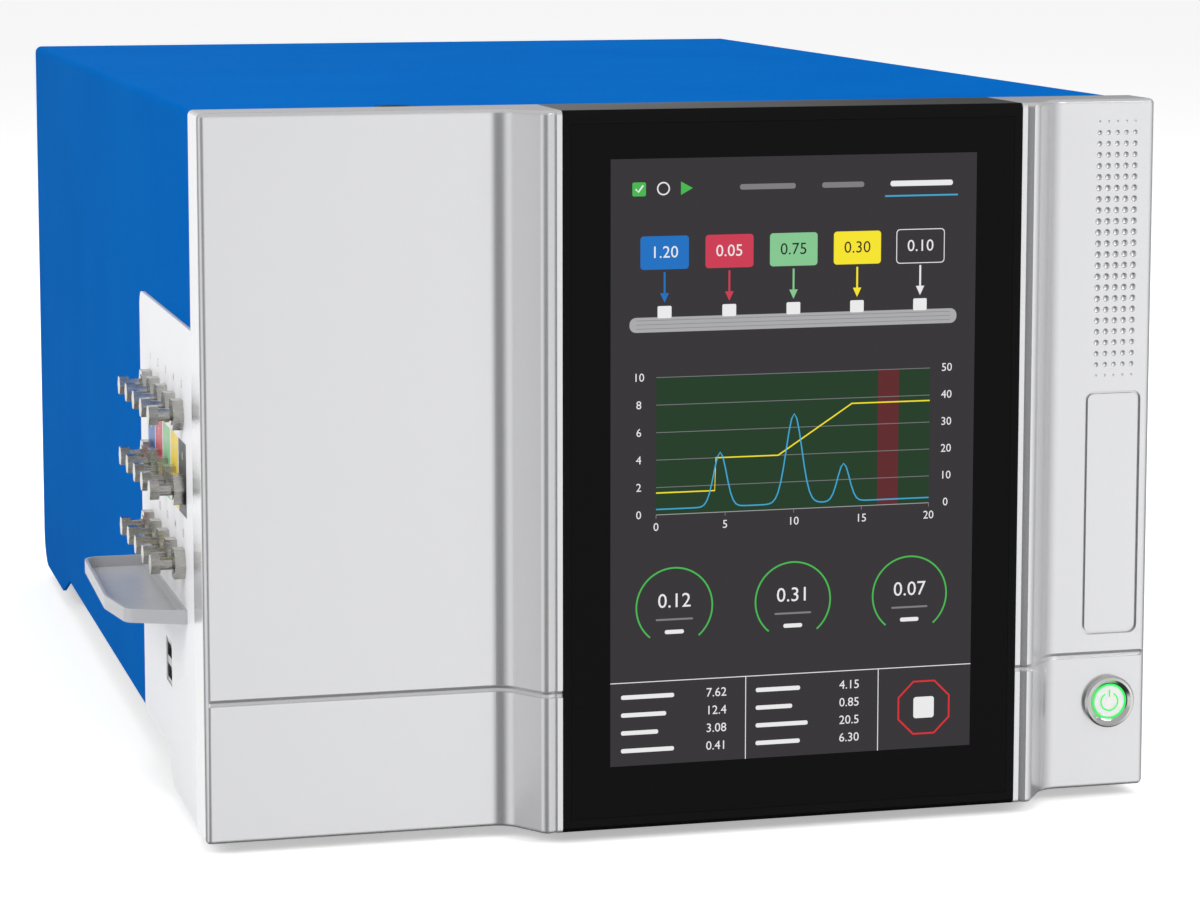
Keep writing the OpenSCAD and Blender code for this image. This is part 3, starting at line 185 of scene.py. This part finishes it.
def glow(name, colour, base="#0a0a0b"):
    """A lit print behind the cover glass: it shines in its own colour under a glossy face."""
    material, tree, place = new_material(name)
    cells = noise(tree, place, 3.0, 1.0)
    shader = add(tree, "ShaderNodeBsdfPrincipled", {
        "Base Color": linear(base),
        "Roughness": spread(tree, cells, 0.12, 0.16),
        "Specular IOR Level": 0.08,
        "Emission Color": linear(colour),
        "Emission Strength": 1.0})
    close_material(tree, shader)
    return material


BLUE = powder_coat("powder_coated_steel_blue", "#005eb1", "#0262b4", 0.5, shine=0.0003)
WHITE = powder_coat("powder_coated_steel_white", "#e9e9ec", "#eeeef0", 0.45)
LIGHT_GREY = powder_coat("powder_coated_steel_grey", "#cfd1d2", "#d6d8d9", 0.5)
SILVER = lacquered_moulding()
TRAY = powder_coat("satin_aluminium_tray", "#b3b4b7", "#bdbec0", 0.34, 2.2, 0.006)
BEZEL = gloss_black("polished_black_moulding", "#0f0f10", 0.12)
GLASS = gloss_black("black_printed_cover_glass", "#0d0d0e", 0.06)
CHROME = metal("polished_chrome_plate", "#dededc", "#d2d2d0", 0.07, 8, 0.001)
NICKEL = metal("turned_nickel_plate", "#c9c8c2", "#b3b1aa", 0.2, 1.4, 0.006, (0.25, 1, 1))
STEEL = metal("turned_stainless_steel", "#c2c1bc", "#a9a8a3", 0.24, 1.4, 0.006)
ZINC = metal("zinc_plated_sheet", "#c5c8ca", "#aeb2b5", 0.34, 14, 0.004)
TIN = metal("tin_plated_shell", "#b4b6b8", "#9c9ea0", 0.28, 5, 0.004)
BRASS = metal("turned_brass", "#c9ad63", "#b3974f", 0.25, 1.4, 0.006)
BLACK_PLASTIC = plastic("moulded_black_nylon", "#18191b", "#212225", 0.5)
RUBBER = plastic("moulded_black_rubber", "#161617", "#1f1f20", 0.75, 1.0, 0.03)
GREEN_PLASTIC = plastic("moulded_green_polyamide", "#2b8749", "#33964f", 0.45)
PEEK = plastic("machined_peek", "#b59e6c", "#c4ae7e", 0.42, 2.0, 0.01)
BOARD = plastic("solder_masked_board", "#17603c", "#1e6f48", 0.35, 4.0, 0.02)
GREY_PVC = plastic("ribbon_cable_vinyl", "#85878b", "#939599", 0.5, 1.27, 0.05)
CAP = plastic("pearl_white_acrylic", "#f1f1ef", "#f7f7f5", 0.25, 3.0, 0.002)
CERAMIC = plastic("fuse_glass_tube", "#c9cdc9", "#dfe3df", 0.15, 3.0, 0.001)
GREEN_LIGHT = glow("lit_green_ring", "#35e765", "#1d7a38")

FINISH = {
    "top_cover": BLUE, "side_panel": WHITE, "rear_panel": LIGHT_GREY,
    "left_fascia": SILVER, "right_fascia": SILVER, "badge_insert": SILVER,
    "drip_tray": TRAY, "display_bezel": BEZEL, "display_glass": GLASS, "lcd_panel": BEZEL,
    "button_collar": CHROME, "button_light_ring": GREEN_LIGHT, "power_button": CAP,
    "bulkhead_unions": NICKEL, "panel_nuts": NICKEL, "tube_plugs": NICKEL,
    "base_chassis": ZINC, "front_frame": ZINC, "manifold_bracket": ZINC, "board_standoffs": ZINC,
    "power_supply": ZINC, "button_nut": ZINC, "foot_screws": ZINC, "cover_screws": ZINC,
    "rear_screws": ZINC, "fascia_screws": ZINC, "fan_screws": ZINC,
    "usb_port": TIN, "network_ports": TIN, "fan_guard": TIN, "flow_controllers": TIN,
    "rubber_feet": RUBBER, "top_plug": BLACK_PLASTIC, "mains_inlet": BLACK_PLASTIC,
    "fuse_drawer": BLACK_PLASTIC, "mains_rocker": BLACK_PLASTIC, "fan_frame": BLACK_PLASTIC,
    "fan_rotor": BLACK_PLASTIC, "button_switch": BLACK_PLASTIC, "valve_motor": BLACK_PLASTIC,
    "solenoid_valves": BLACK_PLASTIC, "signal_terminals": GREEN_PLASTIC, "ground_stud": BRASS,
    "inlet_pins": STEEL, "valve_stator": STEEL, "pressure_sensors": STEEL, "inline_filter": STEEL,
    "display_board": BOARD, "port_board": BOARD, "main_board": BOARD, "flow_manifold": PEEK,
    "capillary_tubes": PEEK, "valve_rotor": PEEK, "ribbon_cable": GREY_PVC, "fuses": CERAMIC,
}
missing = sorted(set(NODES) - set(FINISH))
if missing:
    raise RuntimeError(f"no finish for {missing}")
for name, material in FINISH.items():
    mesh = NODES[name].data
    mesh.materials.clear()
    mesh.materials.append(material)


# The two mouldings of the front

# Faces that meet at less than this angle, in degrees, are shaded as one surface
SMOOTH_ANGLE = 28
# Points nearer to each other than this, in metres, are one point
WELD = 1e-7
# Points nearer than this to the lowest one, in metres, lie on the flat lower end
LEVEL = 1e-6


def smooth_normals(shell):
    """A normal for each corner of each face, from the faces round it that run on smoothly.

    Larger faces count for more, so that the flats stay flat beside their rounded edges.
    """
    shell.normal_update()
    runs_on = math.cos(math.radians(SMOOTH_ANGLE))
    normals = []
    for face in shell.faces:
        for vert in face.verts:
            near = [f for f in vert.link_faces if f.normal.dot(face.normal) > runs_on]
            normals.append(sum((f.normal * f.calc_area() for f in near), Vector()).normalized())
    return normals


def closed_moulding(node):
    """Stands for a fascia: its CAD surface, with the flat lower end filled inside its outline.

    The CAD solid's own lower end is filled past the hollow flare.
    """
    mesh = NODES[node].data.copy()
    mesh.attributes.remove(mesh.attributes["custom_normal"])
    shell = bmesh.new()
    shell.from_mesh(mesh)
    bmesh.ops.remove_doubles(shell, verts=shell.verts, dist=WELD)
    low = min(v.co.z for v in shell.verts)
    end = [f for f in shell.faces if all(v.co.z - low < LEVEL for v in f.verts)]
    bmesh.ops.delete(shell, geom=end, context="FACES")
    rim = [e for e in shell.edges if e.is_boundary]
    cap = bmesh.ops.contextual_create(shell, geom=rim)["faces"][0]
    if cap.normal.z > 0:
        cap.normal_flip()
    normals = smooth_normals(shell)
    shell.to_mesh(mesh)
    shell.free()
    mesh.normals_split_custom_set(normals)
    piece = bpy.data.objects.new(node + "_moulding", mesh)
    bpy.context.collection.objects.link(piece)
    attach(piece, "housing")
    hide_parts(node)


for name in ("left_fascia", "right_fascia"):
    closed_moulding(name)


# Lit screen: plain shapes and numbers on thin layers in front of the cover glass

# Width and height of the lit screen, and its middle, as in the part's source
SCREEN_W = 138.2
SCREEN_H = 220.8
SCREEN_MID_X = 34.4
SCREEN_MID_Z = 138
SCREEN_X = SCREEN_MID_X - SCREEN_W / 2
SCREEN_Z = SCREEN_MID_Z - SCREEN_H / 2
GLASS_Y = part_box("display_glass")[0][1] / MM
# Distance between the layers of the picture
LAYER = 0.02

INK = {
    "screen_ground": "#333033", "pale_ink": "#e9e9ea", "grey_ink": "#7d7c80", "green_ink": "#46b64f",
    "blue_ink": "#1a6fc0", "sky_ink": "#3fa4cf", "red_ink": "#cb3a52", "signal_red": "#dc2a32",
    "mint_ink": "#84c690", "yellow_ink": "#f5e32a", "dark_ink": "#1b1b1c", "plot_green": "#1d3a22",
    "plot_red": "#5e2427", "pipe_grey": "#a9a9ac",
}
art = {name: bmesh.new() for name in INK}


def on_screen(u, v, layer):
    """A point u mm across and v mm up the lit area, on a layer in front of the glass."""
    return Vector((SCREEN_X + u, GLASS_Y - layer * LAYER, SCREEN_Z + v)) * MM


def patch(ink, layer, outline):
    """One flat face that looks to the front, from points listed the same way round."""
    mesh = art[ink]
    mesh.faces.new([mesh.verts.new(on_screen(u, v, layer)) for u, v in outline])


def box_patch(ink, layer, u, v, width, height):
    patch(ink, layer, [(u, v), (u + width, v), (u + width, v + height), (u, v + height)])


def arc(u, v, radius, start, end, steps):
    """Points on an arc from one angle to another, in degrees."""
    return [(u + radius * math.cos(math.radians(start + (end - start) * i / steps)),
             v + radius * math.sin(math.radians(start + (end - start) * i / steps)))
            for i in range(steps + 1)]


def round_patch(ink, layer, u, v, width, height, radius):
    """A box with rounded corners."""
    corners = [(u + width - radius, v + radius, -90), (u + width - radius, v + height - radius, 0),
               (u + radius, v + height - radius, 90), (u + radius, v + radius, 180)]
    outline = []
    for cu, cv, start in corners:
        outline += arc(cu, cv, radius, start, start + 90, 5)
    patch(ink, layer, outline)


def ring_patch(ink, layer, u, v, radius, width, start=0, end=360, steps=64):
    """A ring, or an open arc of one, whose outer edge has that radius."""
    outer = arc(u, v, radius, start, end, steps)
    inner = arc(u, v, radius - width, start, end, steps)
    for i in range(steps):
        patch(ink, layer, [outer[i], outer[i + 1], inner[i + 1], inner[i]])


def line_patch(ink, layer, points, width):
    """A drawn line of even width, mitred at its corners."""
    edges = []
    for i, (u, v) in enumerate(points):
        before = Vector(points[max(i - 1, 0)])
        after = Vector(points[min(i + 1, len(points) - 1)])
        along = (after - before).normalized()
        edges.append(((u - along.y * width / 2, v + along.x * width / 2),
                      (u + along.y * width / 2, v - along.x * width / 2)))
    for (a, b), (c, d) in zip(edges, edges[1:]):
        patch(ink, layer, [b, d, c, a])


def text_mesh(text, size):
    """The glyphs of a plain number as a flat mesh, centred on the origin."""
    curve = bpy.data.curves.new("number", "FONT")
    curve.body = text
    curve.size = size
    curve.align_x = "CENTER"
    curve.align_y = "CENTER"
    curve.resolution_u = 3
    holder = bpy.data.objects.new("number", curve)
    bpy.context.collection.objects.link(holder)
    bpy.context.view_layer.update()
    mesh = bpy.data.meshes.new_from_object(holder.evaluated_get(bpy.context.evaluated_depsgraph_get()))
    bpy.data.objects.remove(holder)
    bpy.data.curves.remove(curve)
    return mesh


def number(ink, layer, u, v, text, size):
    """A plain number on the screen, with its middle at u, v."""
    glyphs = text_mesh(text, size)
    mesh = art[ink]
    verts = [mesh.verts.new(on_screen(u + p.co.x, v + p.co.y, layer)) for p in glyphs.vertices]
    for face in glyphs.polygons:
        mesh.faces.new([verts[i] for i in face.vertices])
    bpy.data.meshes.remove(glyphs)


def menu_bar():
    """The dark ground, three small signs at the left and three tabs at the right."""
    box_patch("screen_ground", 1, 0, 0, SCREEN_W, SCREEN_H)
    round_patch("green_ink", 2, 8, 207.4, 5, 5, 0.6)
    line_patch("pale_ink", 3, [(9.2, 210), (10.2, 208.9), (12, 211.3)], 0.6)
    ring_patch("pale_ink", 2, 19.5, 210, 2.4, 0.5)
    patch("green_ink", 2, [(26, 207.6), (30.4, 210), (26, 212.4)])
    for u, width, ink in ((48, 21, "grey_ink"), (79, 16, "grey_ink"), (105, 24, "pale_ink")):
        round_patch(ink, 2, u, 209, width, 2, 0.9)
    box_patch("sky_ink", 2, 103, 205.2, 28, 0.6)


def flow_tiles():
    """Five number tiles over a straight pipe with a short drop from each."""
    tiles = (("blue_ink", "pale_ink", "1.20"), ("red_ink", "pale_ink", "0.05"),
             ("mint_ink", "dark_ink", "0.75"), ("yellow_ink", "dark_ink", "0.30"),
             ("screen_ground", "pale_ink", "0.10"))
    for i, (ink, print_ink, value) in enumerate(tiles):
        u = 11 + i * 24.2
        if ink == "screen_ground":
            round_patch("pale_ink", 2, u - 0.3, 180.7, 18.6, 12.6, 1.4)
        round_patch(ink, 3, u, 181, 18, 12, 1.2)
        number(print_ink, 4, u + 9, 187, value, 6)
        arrow = "pale_ink" if ink == "screen_ground" else ink
        line_patch(arrow, 2, [(u + 9, 180), (u + 9, 171.5)], 0.7)
        patch(arrow, 2, [(u + 9, 169), (u + 10.6, 172.4), (u + 7.4, 172.4)])
        round_patch("pale_ink", 3, u + 6.4, 163.4, 5.2, 4.4, 0.5)
    round_patch("pipe_grey", 2, 7, 158.4, 124, 5.4, 2.4)
    for i in range(3):
        box_patch("grey_ink", 3, 9.5, 159.6 + i * 1.5, 119, 0.18)


def plot():
    """A dark green plot with a red band, grid, one stepped line and one line of peaks."""
    left, low, width, height = 17.0, 92.0, 104.0, 50.0
    box_patch("plot_green", 2, left, low, width, height)
    box_patch("plot_red", 3, left + width - 20, low, 8, height)
    for i in range(6):
        v = low + height * i / 5
        box_patch("pipe_grey" if i == 0 else "grey_ink", 4, left, v - 0.12, width, 0.24)
        number("pale_ink", 2, left - 6.5, v, f"{i * 2}", 4.2)
        number("pale_ink", 2, left + width + 6.5, v, f"{i * 10}", 4.2)
    for i in range(5):
        u = left + width * i / 4
        box_patch("grey_ink", 4, u - 0.12, low - 1.4, 0.24, 1.4)
        number("pale_ink", 2, u, low - 4.6, f"{i * 5}", 4.2)
    steps = [(0, 8), (22, 8), (22.4, 20), (46, 20), (74, 38), (104, 38)]
    line_patch("yellow_ink", 5, [(left + u, low + v) for u, v in steps], 0.5)
    humps = ((24, 20, 3.4), (52, 33, 4.2), (71, 14, 3.2))
    curve = []
    for i in range(105):
        rise = 2.0 + sum(h * math.exp(-((i - c) / w) ** 2) for c, h, w in humps)
        curve.append((left + i, low + rise))
    line_patch("sky_ink", 6, curve, 0.5)


def dials():
    """Three open green dials with a number in each."""
    for i, value in enumerate(("0.12", "0.31", "0.07")):
        u = 24 + i * 45
        ring_patch("green_ink", 2, u, 58, 14.6, 0.6, -50, 230)
        number("pale_ink", 2, u, 60, value, 7.4)
        round_patch("grey_ink", 2, u - 7, 53, 14, 0.7, 0.3)
        round_patch("pale_ink", 2, u - 3.6, 48, 7.2, 1.5, 0.7)


def readings():
    """The bottom strip: two blocks of readings and a red eight-sided stop outline."""
    box_patch("pale_ink", 2, 0, 30.6, SCREEN_W, 0.3)
    for u in (51, 102):
        box_patch("pale_ink", 2, u, 0, 0.3, 30.6)
    rows = (("7.62", "4.15"), ("12.4", "0.85"), ("3.08", "20.5"), ("0.41", "6.30"))
    for i, pair in enumerate(rows):
        v = 25.4 - i * 6.6
        for block, value in enumerate(pair):
            u = block * 51
            round_patch("pale_ink", 2, u + 4, v - 0.8, 20 - 3 * ((i + block) % 3), 1.6, 0.7)
            number("pale_ink", 2, u + 40, v, value, 4.6)
    stop_u, stop_v, stop_r = 120, 15.3, 11
    ring_patch("signal_red", 2, stop_u, stop_v, stop_r, 0.06 * stop_r, 22.5, 382.5, 8)
    round_patch("pale_ink", 2, stop_u - 4, stop_v - 4, 8, 8, 1)


menu_bar()
flow_tiles()
plot()
dials()
readings()
for name, mesh in art.items():
    data = bpy.data.meshes.new(name)
    mesh.to_mesh(data)
    mesh.free()
    piece = bpy.data.objects.new(name, data)
    bpy.context.collection.objects.link(piece)
    data.materials.append(glow(name, INK[name]))
    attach(piece, "housing")


# Prints on the connection panel and the button

def print_piece(name, faces, material, body):
    """A thin print: each face is a list of points in mm."""
    mesh = bmesh.new()
    for face in faces:
        mesh.faces.new([mesh.verts.new(Vector(p) * MM) for p in face])
    data = bpy.data.meshes.new(name)
    mesh.to_mesh(data)
    mesh.free()
    data.materials.append(material)
    piece = bpy.data.objects.new(name, data)
    bpy.context.collection.objects.link(piece)
    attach(piece, body)


def printed_vinyl(name, colour):
    """A printed vinyl label stuck on the panel: an even, slightly glossy film."""
    return plastic(name, colour, colour, 0.4, 2.5, 0.004)


# The panel's outer face, and how far the prints stand off it
PANEL_X = -179.0
FILM = 0.04
# The 15 fittings: five columns from the front and three rows from the top
COLUMN_Y = [-223 + 20.8 * k for k in range(5)]
ROW_Z = [152.4 - 27.7 * k for k in range(3)]
# The coloured labels behind the middle row
LABEL_W = 19
LABEL_LOW = 115
LABEL_HIGH = 142.4
NUMBER_SIZE = 4.2
LABELS = (("black_label", "#1c1c1c"), ("yellow_label", "#f3d21d"), ("green_label", "#84c690"),
          ("red_label", "#c8324c"), ("blue_label", "#2a63b0"))


def panel_label(name, colour, y):
    """One coloured label, with its middle at y."""
    x = PANEL_X - FILM
    face = [(x, y + LABEL_W / 2, LABEL_LOW), (x, y - LABEL_W / 2, LABEL_LOW),
            (x, y - LABEL_W / 2, LABEL_HIGH), (x, y + LABEL_W / 2, LABEL_HIGH)]
    print_piece(name, [face], printed_vinyl(name, colour), "housing")


def panel_numbers(name, rows, colour, rise, depth):
    """Plain port numbers above each fitting, read from the left side."""
    faces = []
    for row in rows:
        for k, y in enumerate(COLUMN_Y):
            glyphs = text_mesh(str((row + 1) * len(COLUMN_Y) - k), NUMBER_SIZE)
            for face in glyphs.polygons:
                faces.append([(PANEL_X - depth, y - glyphs.vertices[i].co.x,
                               ROW_Z[row] + rise + glyphs.vertices[i].co.y) for i in face.vertices])
            bpy.data.meshes.remove(glyphs)
    print_piece(name, faces, printed_vinyl(name, colour), "housing")


for (label_name, label_colour), label_y in zip(LABELS, COLUMN_Y):
    panel_label(label_name, label_colour, label_y)
panel_numbers("port_numbers", (0, 2), "#4a4a4d", 11, FILM)
panel_numbers("label_numbers", (1,), "#e6e6e4", 12, 2 * FILM)


# The power symbol: the middle of the button, the plane of its print, and the sizes of the sign
BUTTON_X = 165.0
BUTTON_Z = 37.4
SYMBOL_Y = -278.78
SYMBOL_R = 3.65
SYMBOL_LINE = 0.5
SYMBOL_OPEN = 60
BAR_LOW = 1.8
BAR_HIGH = 4.6


def power_symbol():
    """An open ring with a bar, lit from behind the button's cap."""
    steps = 40
    start, turn = 90 + SYMBOL_OPEN / 2, 360 - SYMBOL_OPEN
    outer = arc(BUTTON_X, BUTTON_Z, SYMBOL_R, start, start + turn, steps)
    inner = arc(BUTTON_X, BUTTON_Z, SYMBOL_R - SYMBOL_LINE, start, start + turn, steps)
    shapes = [[inner[i], outer[i], outer[i + 1], inner[i + 1]] for i in range(steps)]
    left, right = BUTTON_X - SYMBOL_LINE / 2, BUTTON_X + SYMBOL_LINE / 2
    low, high = BUTTON_Z + BAR_LOW, BUTTON_Z + BAR_HIGH
    shapes.append([(left, low), (right, low), (right, high), (left, high)])
    faces = [[(x, SYMBOL_Y, z) for x, z in shape] for shape in shapes]
    print_piece("power_symbol", faces, GREEN_LIGHT, "button_cap")


power_symbol()


# Camera at the photograph's angle

# Width of the photograph and the lens solved from it, in its pixels
PHOTO_W = 1200
FOCAL_PX = 3659
SENSOR_MM = 36
CAMERA_PLACE = (-0.3672, -1.5469, 0.3476)
# Degrees that the camera turns to the right and looks down
CAMERA_TURN = 14.53
CAMERA_DOWN = 7.08
SHIFT_X = 0.008
SHIFT_Y = -0.10

camera_data = bpy.data.cameras.new("camera")
camera_data.sensor_fit = "HORIZONTAL"
camera_data.sensor_width = SENSOR_MM
camera_data.lens = FOCAL_PX / PHOTO_W * SENSOR_MM
camera_data.shift_x = SHIFT_X
camera_data.shift_y = SHIFT_Y
camera_data.clip_start = 0.05
camera_data.clip_end = 50
camera = bpy.data.objects.new("camera", camera_data)
camera.location = CAMERA_PLACE
camera.rotation_euler = (math.radians(90 - CAMERA_DOWN), 0, math.radians(-CAMERA_TURN))
bpy.context.collection.objects.link(camera)
bpy.context.scene.camera = camera


# Floor, lamps and world

def area_lamp(name, place, target, size, power, mirrored=True):
    """A soft lamp; one that isn't mirrored leaves no bright patch on polished faces."""
    data = bpy.data.lights.new(name, "AREA")
    data.shape = "RECTANGLE"
    data.size, data.size_y = size
    data.energy = power
    lamp = bpy.data.objects.new(name, data)
    lamp.location = place
    lamp.rotation_euler = (Vector(target) - Vector(place)).to_track_quat("-Z", "Y").to_euler()
    lamp.visible_glossy = mirrored
    bpy.context.collection.objects.link(lamp)


# Cards that stand round the object, as [degrees right of its front, brightness], and how bright the
# lightest of them is. One more card hangs overhead, and a dark one lies below.
CARDS = ((-180, 1.0), (-150, 1.0), (-135, 0.15), (-110, 0.15), (-94, 0.45), (-78, 0.8), (-62, 0.75),
         (-50, 0.35), (-40, 0.08), (-14, 0.08), (1, 0.8), (14, 0.97), (32, 1.0), (50, 0.85), (70, 0.6),
         (92, 0.4), (115, 0.2), (160, 0.0), (176, 0.6))
CARDS_LIGHT = 1.18
SKY_CARD = 0.45
UNDER_CARD = 0.03


def ramp(tree, fac, stops):
    """Runs through greys, each given as [place from 0 to 1, brightness]."""
    node = add(tree, "ShaderNodeValToRGB", {"Fac": fac})
    marks = node.color_ramp.elements
    while len(marks) < len(stops):
        marks.new(0.5)
    for mark, (place, level) in zip(marks, stops):
        mark.position = place
        mark.color = (level, level, level, 1)
    return node.outputs["Color"]


def surround(tree, direction):
    """The grey that a polished face sees that way: cards all round, one overhead, dark below."""
    axes = add(tree, "ShaderNodeSeparateXYZ", {"Vector": direction}).outputs
    front = add(tree, "ShaderNodeMath", {0: axes["Y"], 1: -1.0}, operation="MULTIPLY").outputs[0]
    turn = add(tree, "ShaderNodeMath", {0: axes["X"], 1: front}, operation="ARCTAN2").outputs[0]
    place = add(tree, "ShaderNodeMapRange", {"Value": turn, "From Min": -math.pi, "From Max": math.pi})
    cards = ramp(tree, place.outputs["Result"], [((d + 180) / 360, level) for d, level in CARDS])
    over = add(tree, "ShaderNodeMapRange", {"Value": axes["Z"], "From Min": 0.0, "From Max": 0.3})
    under = add(tree, "ShaderNodeMapRange", {"Value": axes["Z"], "From Min": -0.4, "From Max": -0.7})
    low = add(tree, "ShaderNodeMix", {"Factor": under.outputs["Result"], 6: cards,
              7: (UNDER_CARD, UNDER_CARD, UNDER_CARD, 1)}, data_type="RGBA").outputs[2]
    return add(tree, "ShaderNodeMix", {"Factor": over.outputs["Result"], 6: low,
               7: (SKY_CARD, SKY_CARD, SKY_CARD, 1)}, data_type="RGBA").outputs[2]


def studio():
    """A white floor that keeps the shadow, and soft lamps from the right, top and left."""
    material, tree, place = new_material("white_paper_floor")
    path = add(tree, "ShaderNodeLightPath")
    matt = add(tree, "ShaderNodeBsdfDiffuse", {"Color": linear("#f4f4f4")})
    lit = add(tree, "ShaderNodeEmission", {"Color": linear("#ffffff"), "Strength": 0.42})
    seen = add(tree, "ShaderNodeAddShader", {0: matt.outputs[0], 1: lit.outputs[0]})
    mix = add(tree, "ShaderNodeMixShader", {0: path.outputs["Is Camera Ray"],
              1: matt.outputs[0], 2: seen.outputs[0]})
    close_material(tree, mix)
    bpy.ops.mesh.primitive_plane_add(size=30, location=(0, 0, 0))
    floor = bpy.context.object
    floor.name = "floor"
    floor.data.materials.append(material)
    floor.visible_glossy = False

    world = bpy.data.worlds.new("studio")
    world.use_nodes = True
    tree = world.node_tree
    tree.nodes.clear()
    path = add(tree, "ShaderNodeLightPath")
    along = add(tree, "ShaderNodeTexCoord").outputs["Generated"]
    soft = add(tree, "ShaderNodeBackground", {"Color": linear("#ffffff"), "Strength": 0.55})
    mirrored = add(tree, "ShaderNodeBackground", {"Color": surround(tree, along),
                   "Strength": CARDS_LIGHT})
    bright = add(tree, "ShaderNodeBackground", {"Color": linear("#ffffff"), "Strength": 1.0})
    unseen = add(tree, "ShaderNodeMixShader", {0: path.outputs["Is Glossy Ray"],
                 1: soft.outputs[0], 2: mirrored.outputs[0]})
    mix = add(tree, "ShaderNodeMixShader", {0: path.outputs["Is Camera Ray"],
              1: unseen.outputs[0], 2: bright.outputs[0]})
    out = add(tree, "ShaderNodeOutputWorld")
    tree.links.new(mix.outputs[0], out.inputs["Surface"])
    bpy.context.scene.world = world

    middle = (0, -0.1, 0.12)
    area_lamp("key_right", (1.6, -1.9, 1.7), middle, (1.2, 1.2), 22)
    area_lamp("top", (0.2, 0.2, 2.4), (0, 0, 0.1), (2.0, 2.0), 22, mirrored=False)
    area_lamp("fill_left", (-2.0, -0.9, 1.5), middle, (1.4, 1.4), 24, mirrored=False)


studio()
bpy.context.scene.view_settings.view_transform = "Standard"
